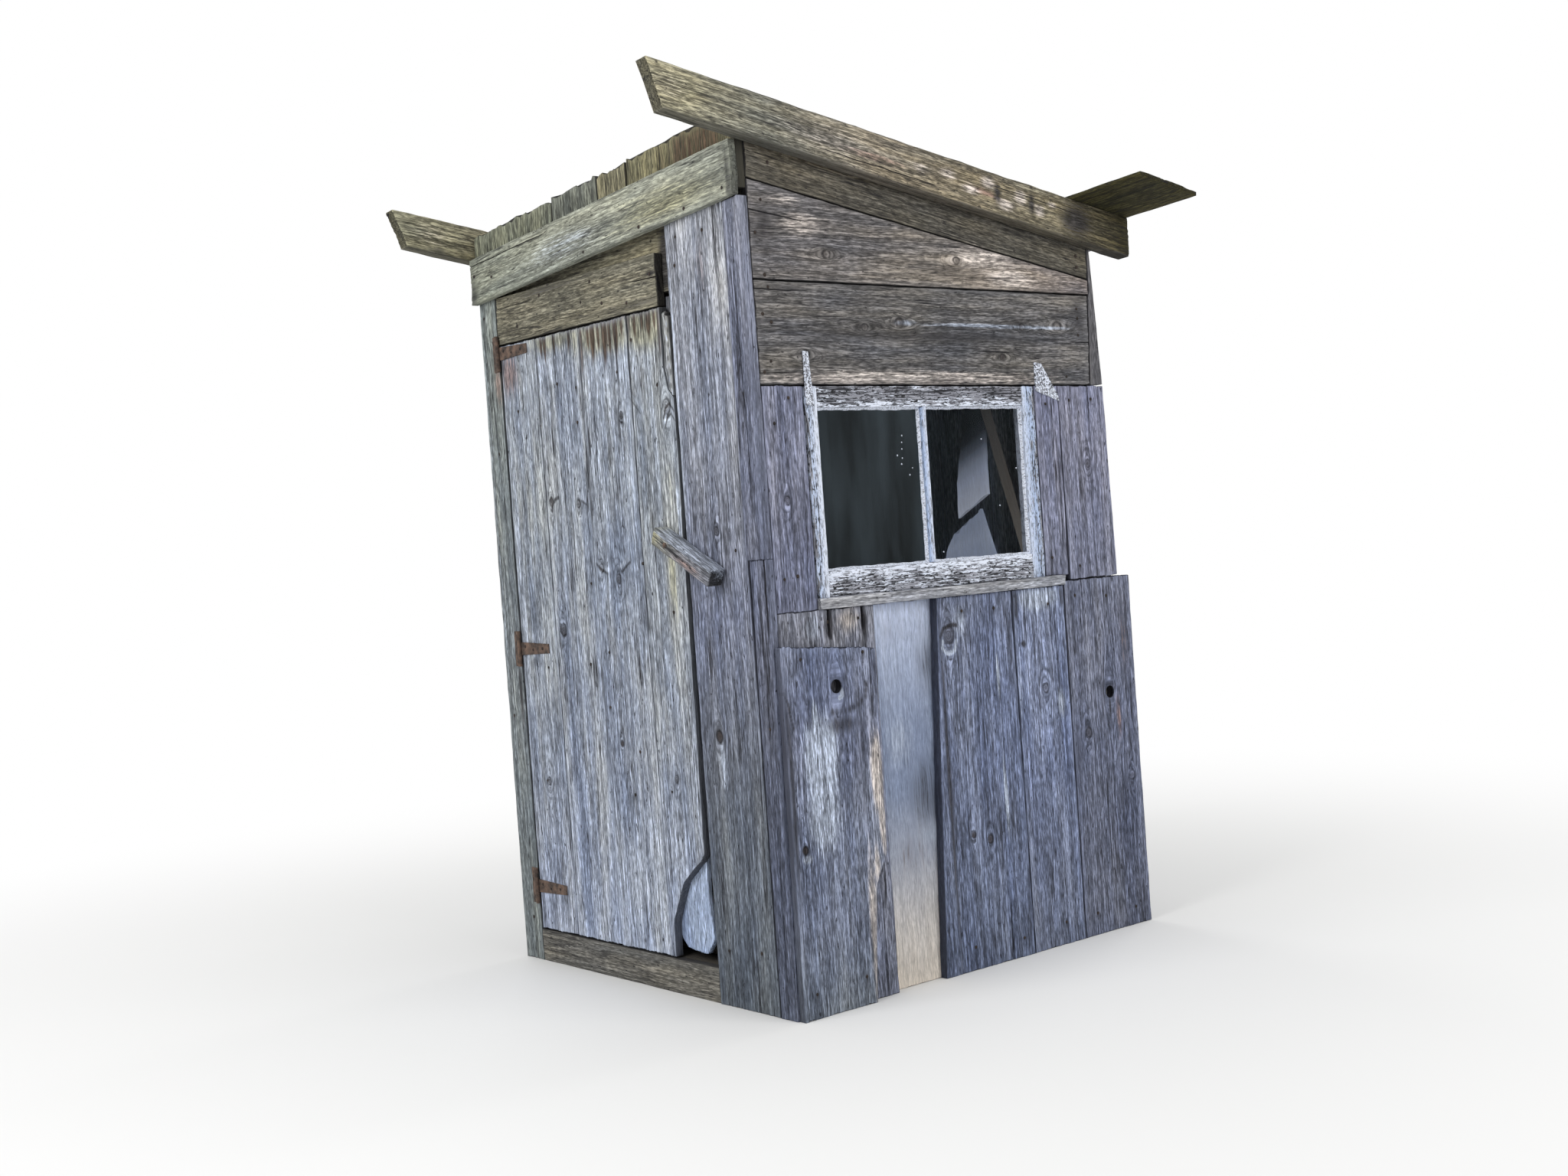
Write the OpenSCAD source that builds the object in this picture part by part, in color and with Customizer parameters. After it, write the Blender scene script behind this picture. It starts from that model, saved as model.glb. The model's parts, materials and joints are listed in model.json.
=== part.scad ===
// Weathered wooden outhouse with a board door, a two pane sash and a single slope roof.
// Millimetres. The doorway faces -Y, the window side is +X and Z is up.
// The origin lies on the ground, under the middle of the plan.

/* [Plan] */
// width over the side wall boards
plan_w = 1220; // [1000:10:1600]
// depth from the face of the front boards to the back face of the frame
plan_d = 1220; // [1000:10:1600]
// thickness of a wall board
board_t = 25; // [19:1:32]
// thickness of the pale sheet behind the lower side boards
lining_t = 12; // [6:1:18]
// square size of a corner post
post_w = 65; // [50:5:80]
// width of the sill beams and girts across the wall
beam_w = 58; // [45:1:60]
// height of the sill beams
sill_h = 90; // [60:5:140]
// thickness of the floor boards
floor_t = 22; // [16:1:32]
// height of the girts along the side and back walls
rail_h = 70; // [50:5:100]
// height of the girt behind the tops of the lower side boards
low_rail_h = 90; // [60:5:120]
// width of the studs beside the window
stud_w = 40; // [30:1:60]
// play between the frame and the boards' edges
play = 2; // [1:0.5:5]
// fit between members that butt together
joint = 0.3; // [0.2:0.1:1]
// gap between neighbouring boards
seam = 3; // [1:1:6]
// depth of the grooves that part the boards of the plain walls and the deck
groove = 4; // [2:0.5:8]

/* [Roof] */
// fall of the roof to the back, degrees
roof_fall = 9.3; // [4:0.1:16]
// how far the roof has settled to the left, degrees
roof_lean = 4.05; // [0:0.05:6]
// thickness of the deck boards
deck_t = 25; // [19:1:32]
// height of the rake boards
rake_h = 112; // [90:1:150]
// thickness of the rake boards
rake_t = 40; // [25:1:50]
// how far the rake boards hang below the deck
rake_drop = 46; // [20:1:70]
// reach of the right rake past the front wall, along the slope
rake_front_r = 289; // [150:1:350]
// reach of the left rake past the front wall, along the slope
rake_front_l = 254; // [150:1:350]
// how much lower the left rake is at its front end
rake_taper = 14; // [0:1:30]
// slant of the rake's front end
rake_cut = 50; // [0:1:90]
// reach of the deck and rakes past the back wall
rake_back = 105; // [60:5:200]
// width of the loose plank along the back eave
eave_w = 235; // [150:5:300]
// thickness of that plank
eave_t = 12; // [8:1:32]
// reach of that plank past the right rake
eave_out = 240; // [100:5:350]
// height of the top plates and rafters
plate_h = 70; // [50:5:100]
// width of the rafters
rafter_w = 40; // [30:1:60]
// slant of the rake's back end
rake_tail = 6; // [0:1:30]

/* [Front] */
// height of the door's bottom edge
door_base = 95; // [90:1:160]
// width of the door
door_w = 812; // [700:2:830]
// thickness of the door boards
door_t = 25; // [19:1:32]
// clear gap round the door
door_gap = 5; // [4:0.5:10]
// gap between the door and the wide board on its latch side
latch_gap = 7; // [5:0.5:12]
// how much wider that gap is at the ground
latch_taper = 8; // [0:1:20]
// width of the narrow board on the hinge side
corner_w = 90; // [70:2:120]
// width of the strip at the near corner
strip_w = 62; // [40:2:90]
// how far the upper length of that strip stands out
strip_out = 6; // [2:1:12]
// height at which the two lengths of that strip meet
strip_z = 1104; // [900:5:1300]
// height of the board over the door
header_h = 133; // [100:1:180]
// shortfall of that board at its right end
header_short = 50; // [5:1:70]
// lap of the fascia over that board's left end
header_lap = 2; // [0:1:20]
// height of the fascia
fascia_h = 129; // [90:1:170]
// thickness of the fascia
fascia_t = 22; // [16:1:32]
// height of the short boards that show above the fascia
band_show = 68; // [30:1:120]
// how far those boards run down behind the fascia, short of its foot
band_lap = 20; // [12:1:60]
// how far the other uprights run up behind the fascia
upright_lap = 15; // [8:1:60]
// width of the first of those boards, from the left
band_1 = 416; // [200:1:500]
// width of the second
band_2 = 221; // [100:1:300]
// width of the third
band_3 = 133; // [80:1:250]
// height of the girt's under side above the door
girt_up = 40; // [30:1:60]
// gap between that girt and the plates over it
girt_gap = 8; // [2:1:40]
// depth of that girt
girt_t = 45; // [30:1:60]
// width of the strip that the door shuts against
stop_w = 68; // [40:1:80]
// thickness of that strip
stop_t = 25; // [15:1:32]
// height of that strip's foot above the door's foot
stop_foot = 1385; // [100:5:1450]

/* [Door boards] */
// first board, at the hinges
door_b1 = 185; // [140:1:230]
// second board
door_b2 = 218; // [140:1:240]
// third board
door_b3 = 227; // [140:1:240]
// gap between door boards
door_seam = 1.5; // [1:0.5:4]
// narrowing of the door at the foot of its latch edge
door_taper = 12; // [0:1:25]
// width of the strip split from the top latch corner, its crack included
chip_w = 35; // [20:1:60]
// height of that strip
chip_h = 230; // [100:5:400]
// width of the crack beside it
chip_crack = 5; // [3:0.5:10]
// how far its ragged top stays below the door's top
chip_low = 14; // [0:1:40]
// width of the piece broken from the bottom latch corner
break_w = 155; // [40:1:165]
// height of that piece
break_h = 270; // [80:5:300]
// height of a ledge
ledge_h = 110; // [70:5:160]
// thickness of a ledge
ledge_t = 25; // [18:1:32]
// height of the lower ledge above the door's foot
ledge_low = 230; // [190:5:350]
// distance of the upper ledge from the door's top
ledge_high = 200; // [120:5:350]
// distance of the ledges from the door's hinge edge
ledge_in = 35; // [20:1:80]
// distance of the ledges from the strip that the door shuts against
ledge_clear = 20; // [8:1:60]
// thickness of the pale piece behind the broken corner
piece_t = 16; // [8:1:24]

/* [Hinges] */
// length of a strap
strap_l = 148; // [100:2:220]
// height of a strap at its root
strap_h = 37; // [25:1:50]
// height of a strap at its tip
strap_tip = 26; // [12:1:30]
// thickness of the hinge plates
plate_t = 3; // [2:0.5:5]
// height of the jamb plate
leaf_h = 100; // [70:2:140]
// width of the jamb plate
leaf_w = 27; // [20:1:40]
// radius of the knuckle
knuckle_r = 6; // [5:0.5:9]
// radius of the hinge pin
pin_r = 3; // [2:0.25:4]
// running clearance of pins
pin_clear = 0.06; // [0.02:0.01:0.1]
// gap between the knuckles
knuckle_gap = 0.6; // [0.3:0.1:1.5]
// how far a knuckle is let into its plate
knuckle_in = 2; // [1:0.5:3]
// height of the top hinge below the door's top
hinge_top = 20; // [19:1:60]
// height of the middle hinge
hinge_mid = 893; // [700:1:1000]
// height of the bottom hinge above the door's foot
hinge_low = 120; // [60:5:200]

/* [Turn button] */
// length of the block
button_l = 250; // [160:5:320]
// height of the block
button_h = 45; // [30:1:60]
// depth of the block
button_t = 46; // [25:1:60]
// distance of the nail from the block's upper end
button_nail = 59; // [30:1:120]
// slope of the block at rest, degrees
button_tilt = 27.6; // [0:0.2:60]
// height of the nail
button_z = 1155; // [900:5:1300]
// distance of the nail from the door's latch edge
button_in = 14; // [10:1:60]
// clear gap behind the block
button_gap = 5; // [5:0.5:10]
// radius of the nail
nail_r = 3; // [2:0.25:5]
// radius of the nail's head
head_r = 7; // [5:0.5:10]
// thickness of the nail's head
head_t = 2; // [1:0.5:4]

/* [Window side] */
// height of the top of the lower boards
low_top = 972; // [850:1:1050]
// height of the sill strip
sill_strip_h = 27; // [15:1:40]
// how far the sill strip stands out from the boards
sill_out = 12; // [5:1:40]
// height of the sash
sash_h = 514; // [420:1:600]
// distance from the front boards' face to the sash
sash_y = 159; // [140:1:220]
// width of the sash
sash_w = 808; // [600:1:850]
// depth of the sash through the wall
sash_t = 35; // [28:1:45]
// how far the sash stands out from the boards
sash_out = 2; // [0:0.5:10]
// clear gap round the sash
sash_gap = 4; // [2:0.5:8]
// width of the sash's front stile
stile_a = 36; // [30:1:80]
// width of the sash's back stile
stile_b = 46; // [30:1:80]
// height of the top rail
rail_top = 52; // [35:1:90]
// height of the bottom rail
rail_low = 64; // [35:1:100]
// width of the bar between the panes
bar_w = 18; // [10:1:50]
// share of the glass width that is in the front pane
pane_share = 0.49; // [0.4:0.01:0.6]
// thickness of the glass
glass_t = 4; // [3:0.5:6]
// height of the wide board over the window
wide_h = 248; // [200:1:285]
// how far its foot stops short of the frame's back
wide_short = 19; // [0:1:40]
// height of the tapered board over that, at its back end
gable_low = 40; // [10:1:120]
// height of the frieze board under the deck
frieze_h = 127; // [90:1:160]
// width of the strip board behind the window
side_strip = 93; // [60:1:130]
// how far the last upright behind the window reaches past the frame's back at its foot
back_out = 45; // [5:1:70]
// how far it reaches past at its top
back_out_up = 33; // [5:1:60]
// how far the strip over it reaches past at its top
back_out_top = 12; // [8:1:40]
// thickness of the sash hangers
hanger_t = 3; // [2:0.5:5]
// width of the front hanger
hanger_w = 20; // [12:1:30]
// rise of the front hanger above the sash
hanger_up = 85; // [50:1:110]
// drop of the front hanger below the sash's top
hanger_down = 48; // [30:1:80]
// reach of the back hanger past the sash
hanger_out = 101; // [60:1:120]
// rise of the back hanger above the sash
hanger_b_up = 64; // [40:1:100]

/* [Lower side boards] */
// width of the front lower board
low_a = 309; // [250:1:340]
// distance from the front boards' face to board C at the top
low_c = 550; // [500:1:600]
// how far board C leans to the front at its foot
low_lean = 50; // [0:1:80]
// width of board C at the top
low_c_w = 279; // [200:1:300]
// width of board D
low_d_w = 202; // [150:1:240]
// how far board E reaches past the frame's back
low_e_out = 92; // [30:1:120]
// height of board E
low_e_h = 982; // [850:1:1050]
// height of the patch board
patch_h = 885; // [700:5:960]
// width of the patch board at its top
patch_w = 311; // [200:1:360]
// width of its sound part at its foot
patch_foot = 240; // [150:1:300]
// thickness of the patch board
patch_t = 20; // [12:1:30]
// radius of the knot holes
knot_r = 17; // [8:1:25]
// distance of the patch board's knot hole from the corner
knot_a_y = 178; // [60:1:240]
// depth of that knot hole below the board's top
knot_a_z = 100; // [50:1:300]
// distance of board E's knot hole from the frame's back
knot_e_y = 19; // [0:1:60]
// depth of that knot hole below the board's top
knot_e_z = 320; // [100:1:500]

/* [Inside] */
// thickness of the torn sheets on the back wall
sheet_t = 10; // [6:1:16]
// distance of their right edge from the middle of the back wall
sheet_x = 183; // [60:1:300]
// width of the upper sheet at its torn foot
sheet_w = 131; // [80:1:240]
// height of the tear above the lower boards
sheet_tear = 208; // [120:1:400]
// width of the slanting lath
lath_w = 28; // [20:1:50]
// thickness of the lath
lath_t = 15; // [10:1:25]
// slant of the lath, degrees
lath_tilt = 16.4; // [0:0.2:30]
// distance of the lath's foot from the middle of the back wall
lath_x = 338; // [200:1:420]

/* [Hidden] */
$fn = 32;
hx = plan_w / 2;
hy = plan_d / 2;
fx = hx - board_t;
fy = -hy + board_t;
big = 4000;

// the door's edges and the hinge line
door_x0 = -hx + corner_w + door_gap;
door_x1 = door_x0 + door_w;
wide_x0 = door_x1 + latch_gap;
wide_x1 = hx - strip_w - seam;
pivot_x = door_x0 - door_gap / 2;
pivot_y = -hy - plate_t - knuckle_r + knuckle_in;

// the stack of boards on the window side sets the height of the deck's under side at the middle of the front
sash_z0 = low_top + joint + sill_strip_h + joint;
sash_top = sash_z0 + sash_h;
wide_z0 = sash_top + sash_gap;
gable_z0 = wide_z0 + wide_h + seam;
roof_h = gable_z0 + gable_low + seam + frieze_h
    - hx * tan(roof_lean) / cos(roof_fall) + plan_d * tan(roof_fall);

// the roof's own frame, and the height of the deck's under side over a point
function under_deck(x, y) = roof_h + x * tan(roof_lean) / cos(roof_fall) - (y + hy) * tan(roof_fall);
roof_skew = hx * sin(roof_lean) * sin(roof_fall);
rake_in_r = (hx + joint) / cos(roof_lean);
rake_in_l = (hx + joint + rake_drop * sin(roof_lean)) / cos(roof_lean);
deck_y0 = (board_t + joint + roof_skew) / cos(roof_fall);
deck_y1 = (plan_d + board_t + rake_back) / cos(roof_fall);
plate_y0 = deck_y0 + plate_h * tan(roof_fall);
plate_y1 = (plan_d - roof_skew) / cos(roof_fall) - joint;
plate_x1 = (fx - plate_h * sin(roof_lean)) / cos(roof_lean) - joint;
function fascia_z(x) = roof_h + deck_t - band_show - fascia_h + x * tan(roof_lean);
band_uneven = [-3, 2, -1, 4];

// the door's head follows the fascia, and the girt over it reaches up to the plates
door_top = fascia_z(-hx + corner_w) + header_lap - header_h - door_gap;
girt_z0 = door_top + girt_up;
girt_z1 = roof_h - (plate_y0 + post_w) * sin(roof_fall)
    - (plate_x1 * sin(roof_lean) + plate_h + joint) * cos(roof_fall) - girt_gap;

// the window opening and the lower boards
open_y0 = -hy + sash_y - sash_gap;
open_y1 = -hy + sash_y + sash_w + sash_gap;
low_d_y = -hy + low_c + low_c_w + seam;
low_e_y = low_d_y + low_d_w + seam;
strip_y1 = open_y1 + side_strip;
inner_z0 = low_top + rail_h + joint;
inner_z1 = under_deck(-hx, hy) - plate_h - rake_tail;

wood = "BurlyWood";
grey = "LightSlateGray";
iron = "SaddleBrown";

module box(a, b) {
    translate(a) cube([b[0] - a[0], b[1] - a[1], b[2] - a[2]]);
}

module in_roof() {
    translate([0, -hy, roof_h]) rotate([-roof_fall, 0, 0]) rotate([0, -roof_lean, 0]) children();
}

// extrudes an outline in Y and Z along X
module side_panel(x, t, points) {
    translate([x, 0, 0]) rotate([90, 0, 90]) linear_extrude(t) polygon(points);
}

// extrudes an outline in X and Z along Y
module front_panel(y, t, points) {
    translate([0, y + t, 0]) rotate([90, 0, 0]) linear_extrude(t) polygon(points);
}

// a board on the front whose long edges follow the roof's lean
module leaning_board(y, t, x0, x1, up0, up1) {
    front_panel(y, t, [
        [x0, fascia_z(x0) + up0], [x1, fascia_z(x1) + up0], [x1, fascia_z(x1) + up1], [x0, fascia_z(x0) + up1]
    ]);
}

// frame

module sill_beams() {
    color(wood) {
        box([-fx, fy, 0], [fx, fy + post_w, sill_h]);
        box([-fx, hy - post_w, 0], [fx, hy, sill_h]);
        box([-fx, fy + post_w + joint, 0], [-fx + beam_w, hy - post_w - joint, sill_h]);
        box([fx - lining_t - beam_w, fy + post_w + joint, 0], [fx - lining_t, hy - post_w - joint, sill_h]);
        box([-beam_w / 2, fy + post_w + joint, 0], [beam_w / 2, hy - post_w - joint, sill_h]);
    }
}

module corner_posts() {
    color(wood) difference() {
        for (sx = [-fx, fx - post_w])
            for (sy = [fy, hy - post_w])
                translate([sx, sy, sill_h]) cube([post_w, post_w, roof_h]);
        in_roof() translate([-big / 2, -big / 2, -plate_h - joint * 2]) cube(big);
    }
}

module door_jamb_post() {
    x = wide_x0 + play;
    color(wood) box([x, fy, sill_h], [x + beam_w, fy + post_w, girt_z0 - joint]);
}

module wall_girts() {
    y0 = fy + post_w + joint;
    y1 = hy - post_w - joint;
    z = wide_z0 + sash_gap;
    color(wood) {
        box([fx - lining_t - beam_w, y0, low_top - low_rail_h], [fx - lining_t, y1, low_top]);
        box([fx - beam_w, y0, z], [fx, y1, z + rail_h]);
        box([-fx, y0, low_top], [-fx + beam_w, y1, low_top + rail_h]);
        box([-fx + post_w + joint, hy - beam_w, low_top], [fx - post_w - joint, hy, low_top + rail_h]);
    }
}

module window_studs() {
    color(wood)
        for (y = [open_y0 - play - stud_w, open_y1 + play])
            box([fx - beam_w, y, low_top + joint], [fx, y + stud_w, wide_z0 + sash_gap - joint]);
}

module top_plates() {
    x = plate_x1;
    color(wood) in_roof() {
        for (sx = [-x, x - post_w])
            translate([sx, plate_y0, -plate_h - joint]) cube([post_w, plate_y1 - plate_y0, plate_h]);
        for (sy = [plate_y0, plate_y1 - post_w])
            translate([-x + post_w + joint, sy, -plate_h - joint])
                cube([2 * (x - post_w - joint), post_w, plate_h]);
    }
}

module roof_rafters() {
    x = plate_x1 - post_w;
    y0 = plate_y0 + post_w + joint;
    y1 = plate_y1 - post_w - joint;
    color(wood) in_roof()
        for (k = [-1, 1])
            translate([k * x / 3 - rafter_w / 2, y0, -plate_h - joint]) cube([rafter_w, y1 - y0, plate_h]);
}

module floor_boards() {
    color(wood) box([-fx + joint, fy + post_w + joint, sill_h + joint],
        [fx - lining_t - joint, hy - post_w - joint, sill_h + joint + floor_t]);
}

// front

module left_corner_board() {
    color(grey) front_panel(-hy, board_t, [
        [-hx, 0], [-hx + corner_w, 0],
        [-hx + corner_w, fascia_z(-hx + corner_w) + upright_lap], [-hx, fascia_z(-hx) + upright_lap]
    ]);
}

// the wide board's latch edge at a height
function wide_edge(z) = wide_x0 + latch_taper * (1 - z / fascia_z(wide_x0));

module wide_jamb_board() {
    color(grey) front_panel(-hy, board_t, [
        [wide_edge(0), 0], [wide_x1, 0],
        [wide_x1, fascia_z(wide_x1) + upright_lap], [wide_x0, fascia_z(wide_x0) + upright_lap]
    ]);
}

module near_corner_strip() {
    x0 = hx - strip_w;
    color(grey) {
        box([x0, -hy, 0], [hx, fy, strip_z - joint]);
        front_panel(-hy - strip_out, board_t + strip_out, [
            [x0, strip_z], [hx, strip_z], [hx, fascia_z(hx) - play], [x0, fascia_z(x0) - play]
        ]);
    }
}

module door_head_board() {
    color(wood) box([-hx + corner_w + joint, -hy, door_top + door_gap],
        [wide_x0 - header_short, fy, door_top + door_gap + header_h]);
}

module fascia_board() {
    color(wood) leaning_board(-hy - fascia_t, fascia_t, -hx, hx, 0, fascia_h);
}

module door_head_girt() {
    color(wood) box([-fx + post_w + joint, fy, girt_z0], [fx - post_w - joint, fy + girt_t, girt_z1]);
}

module front_top_boards() {
    x1 = hx - (rake_h - rake_drop) * sin(roof_lean);
    x = [-hx, -hx + band_1, -hx + band_1 + band_2, -hx + band_1 + band_2 + band_3, x1 + seam];
    color(grey)
        for (i = [0:3])
            leaning_board(-hy, board_t, x[i], x[i + 1] - seam, band_lap,
                fascia_h + band_show + band_uneven[i]);
}

module door_stop() {
    y = fy + door_gap;
    z1 = girt_z0 - 2 * door_gap;
    color(grey) box([wide_x0 - stop_w, y, door_base + stop_foot], [wide_x0 + play, y + stop_t, z1]);
}

module threshold_board() {
    z1 = door_base - door_gap;
    color(grey) box([-hx + corner_w + joint, -hy, 0], [wide_edge(z1) - joint, fy, z1]);
}

// door

// the latch board: narrower at its foot, split at its top corner and broken at its bottom corner
module latch_board(x) {
    e = door_x1 - door_taper;
    b = min(break_w, e - x - door_taper);
    difference() {
        front_panel(-hy, door_t, [
            [x, door_base],
            [e - b, door_base],
            [e - b * 0.97, door_base + break_h * 0.35],
            [e - b * 0.63, door_base + break_h * 0.73],
            [e - b * 0.27, door_base + break_h * 0.9],
            [e, door_base + break_h],
            [door_x1, door_top - chip_h * 1.5],
            [door_x1, door_top - chip_h],
            [door_x1 - chip_w * 0.6, door_top - chip_h * 0.9],
            [door_x1 - chip_w, door_top - chip_h * 0.65],
            [door_x1 - chip_w, door_top],
            [x, door_top]
        ]);
        translate([door_x1 - button_in, -hy - 1, button_z]) rotate([-90, 0, 0])
            cylinder(r = nail_r + pin_clear, h = door_t + 2);
    }
}

module door_boards() {
    x = [door_x0, door_x0 + door_b1, door_x0 + door_b1 + door_b2, door_x0 + door_b1 + door_b2 + door_b3];
    color(grey) {
        for (i = [0:2])
            box([x[i], -hy, door_base], [x[i + 1] - door_seam, -hy + door_t, door_top]);
        latch_board(x[3]);
    }
}

// the strip that has split from the latch board and still stands on it
module door_split_strip() {
    c = chip_crack;
    w = chip_w;
    color(grey) front_panel(-hy, door_t, [
        [door_x1, door_top - chip_h + 3 * joint],
        [door_x1, door_top - chip_low * 2],
        [door_x1 - w * 0.2, door_top - chip_low],
        [door_x1 - w * 0.45, door_top - chip_low * 1.6],
        [door_x1 - w * 0.6, door_top - chip_low * 0.9],
        [door_x1 - w + c, door_top - chip_low * 1.3],
        [door_x1 - w + c * 0.8, door_top - chip_h * 0.65],
        [door_x1 - w * 0.6 + c * 0.2, door_top - chip_h * 0.9 + 2 * joint]
    ]);
}

module door_ledges() {
    x0 = door_x0 + ledge_in;
    x1 = wide_x0 - stop_w - ledge_clear;
    color(wood)
        for (z = [door_base + ledge_low, door_top - ledge_high - ledge_h])
            box([x0, -hy + door_t, z], [x1, -hy + door_t + ledge_t, z + ledge_h]);
}

// a leaf shaped sliver behind the broken corner, whose upper end laps the back of the board beside the ledge
module door_corner_piece() {
    x1 = door_x1 - door_taper;
    lap_x = wide_x0 - stop_w - ledge_clear + 3 * play;
    lap_z = door_base + ledge_low - 2 * play;
    color("Bisque") front_panel(-hy + door_t, piece_t, [
        [x1 - break_w * 0.83, door_base + break_h * 0.08],
        [x1 - break_w * 0.33, door_base + break_h * 0.05],
        [x1 - break_w * 0.11, door_base + break_h * 0.21],
        [x1 - break_w * 0.14, door_base + break_h * 0.39],
        [x1 - break_w * 0.21, door_base + break_h * 0.62],
        [x1 - break_w * 0.17, door_base + break_h * 1.03],
        [lap_x, door_base + break_h * 1.01],
        [lap_x, lap_z],
        [x1 - break_w * 0.64, min(door_base + break_h * 0.75, lap_z)],
        [x1 - break_w * 0.95, door_base + break_h * 0.48],
        [x1 - break_w * 1.06, door_base + break_h * 0.33],
        [x1 - break_w * 0.98, door_base + break_h * 0.16]
    ]);
}

// hinges

function hinge_z() = [door_base + hinge_low, hinge_mid, door_top - hinge_top];

module hinge_strap() {
    k = leaf_h / 5;
    difference() {
        union() {
            translate([0, plate_t + knuckle_r - knuckle_in, 0]) rotate([90, 0, 0]) linear_extrude(plate_t)
                polygon([
                    [0, -strap_h / 2], [strap_l, -strap_tip / 2], [strap_l, strap_tip / 2], [0, strap_h / 2]
                ]);
            translate([0, 0, -strap_h / 2]) cylinder(r = knuckle_r, h = strap_h);
        }
        translate([0, 0, -leaf_h]) cylinder(r = pin_r + pin_clear, h = 2 * leaf_h);
    }
}

module hinge_leaf() {
    z0 = strap_h / 2 + knuckle_gap;
    x0 = -leaf_w - door_gap / 2;
    x1 = -knuckle_r - knuckle_in;
    translate([0, 0, -leaf_h / 2]) cylinder(r = pin_r, h = leaf_h);
    for (s = [0, 1])
        mirror([0, 0, s]) {
            translate([0, 0, z0]) cylinder(r = knuckle_r, h = leaf_h / 2 - z0);
            translate([0, plate_t + knuckle_r - knuckle_in, 0]) rotate([90, 0, 0]) linear_extrude(plate_t)
                polygon([[0, z0], [0, leaf_h / 2], [x0, leaf_h / 2], [x0, 0], [x1, 0], [x1, z0]]);
        }
}

module hinge_straps() {
    color(iron) for (z = hinge_z()) translate([pivot_x, pivot_y, z]) hinge_strap();
}

module hinge_plates() {
    color(iron) for (z = hinge_z()) translate([pivot_x, pivot_y, z]) hinge_leaf();
}

// turn button

module turn_button() {
    color(wood) translate([door_x1 - button_in, -hy - button_gap, button_z]) rotate([0, button_tilt, 0])
        difference() {
            translate([-button_nail, -button_t, -button_h / 2]) cube([button_l, button_t, button_h]);
            translate([0, 1, 0]) rotate([90, 0, 0]) cylinder(r = nail_r + pin_clear, h = button_t + 2);
        }
}

module button_nail() {
    y = -hy - button_gap - button_t - joint;
    color(iron) translate([door_x1 - button_in, 0, button_z]) rotate([-90, 0, 0]) {
        translate([0, 0, y - head_t]) cylinder(r = head_r, h = head_t);
        translate([0, 0, y - head_t / 2]) cylinder(r = nail_r, h = -hy + door_t - play - y);
    }
}

// window side

module frieze_board() {
    y0 = fy + joint;
    color(wood) side_panel(fx, board_t, [
        [y0, under_deck(hx, y0) - frieze_h], [hy, under_deck(hx, hy) - frieze_h],
        [hy, under_deck(fx, hy) - joint], [y0, under_deck(fx, y0) - joint]
    ]);
}

module gable_board() {
    y0 = fy + joint;
    color(grey) side_panel(fx, board_t, [
        [y0, gable_z0], [hy, gable_z0],
        [hy, under_deck(hx, hy) - frieze_h - seam], [y0, under_deck(hx, y0) - frieze_h - seam]
    ]);
}

module wide_side_board() {
    color(grey) side_panel(fx, board_t, [
        [fy + joint, wide_z0], [hy - wide_short, wide_z0],
        [hy - wide_short * 0.3, wide_z0 + wide_h], [fy + joint, wide_z0 + wide_h]
    ]);
}

module window_side_boards() {
    z1 = wide_z0 - seam;
    color(grey) {
        box([fx, fy + joint, low_top + joint], [hx, open_y0, z1]);
        box([fx, open_y1, sash_z0], [hx, strip_y1, z1]);
        side_panel(fx, board_t, [
            [strip_y1 + seam, low_e_h + seam], [hy + back_out, low_e_h + seam],
            [hy + back_out_up, z1], [strip_y1 + seam, z1]
        ]);
    }
}

// fills the corner behind the wide board and the two boards over it
module back_corner_strip() {
    color(grey) side_panel(fx, board_t, [
        [hy - wide_short + seam, wide_z0], [hy + back_out_up, wide_z0],
        [hy + back_out_top, under_deck(fx, hy + back_out_top) - joint],
        [hy + seam, under_deck(fx, hy + seam) - joint],
        [hy + seam, gable_z0], [hy - wide_short * 0.3 + seam, wide_z0 + wide_h]
    ]);
}

module window_sash() {
    x0 = hx + sash_out - sash_t;
    x1 = hx + sash_out;
    y0 = -hy + sash_y;
    y1 = y0 + sash_w;
    z0 = sash_z0;
    w = sash_w - stile_a - stile_b - bar_w;
    yb = y0 + stile_a + w * pane_share;
    color("White") {
        box([x0, y0, z0], [x1, y0 + stile_a, sash_top]);
        box([x0, y1 - stile_b, z0], [x1, y1, sash_top]);
        box([x0, y0 + stile_a + joint, z0], [x1, y1 - stile_b - joint, z0 + rail_low]);
        box([x0, y0 + stile_a + joint, sash_top - rail_top], [x1, y1 - stile_b - joint, sash_top]);
        box([x0, yb, z0 + rail_low + joint], [x1, yb + bar_w, sash_top - rail_top - joint]);
    }
}

module window_panes() {
    xg = hx + sash_out - sash_t / 2;
    y0 = -hy + sash_y;
    w = sash_w - stile_a - stile_b - bar_w;
    yb = y0 + stile_a + w * pane_share;
    z0 = sash_z0 + rail_low + joint;
    z1 = sash_top - rail_top - joint;
    color("LightCyan") {
        box([xg, y0 + stile_a + joint, z0], [xg + glass_t, yb - joint, z1]);
        box([xg, yb + bar_w + joint, z0], [xg + glass_t, y0 + sash_w - stile_b - joint, z1]);
    }
}

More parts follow.
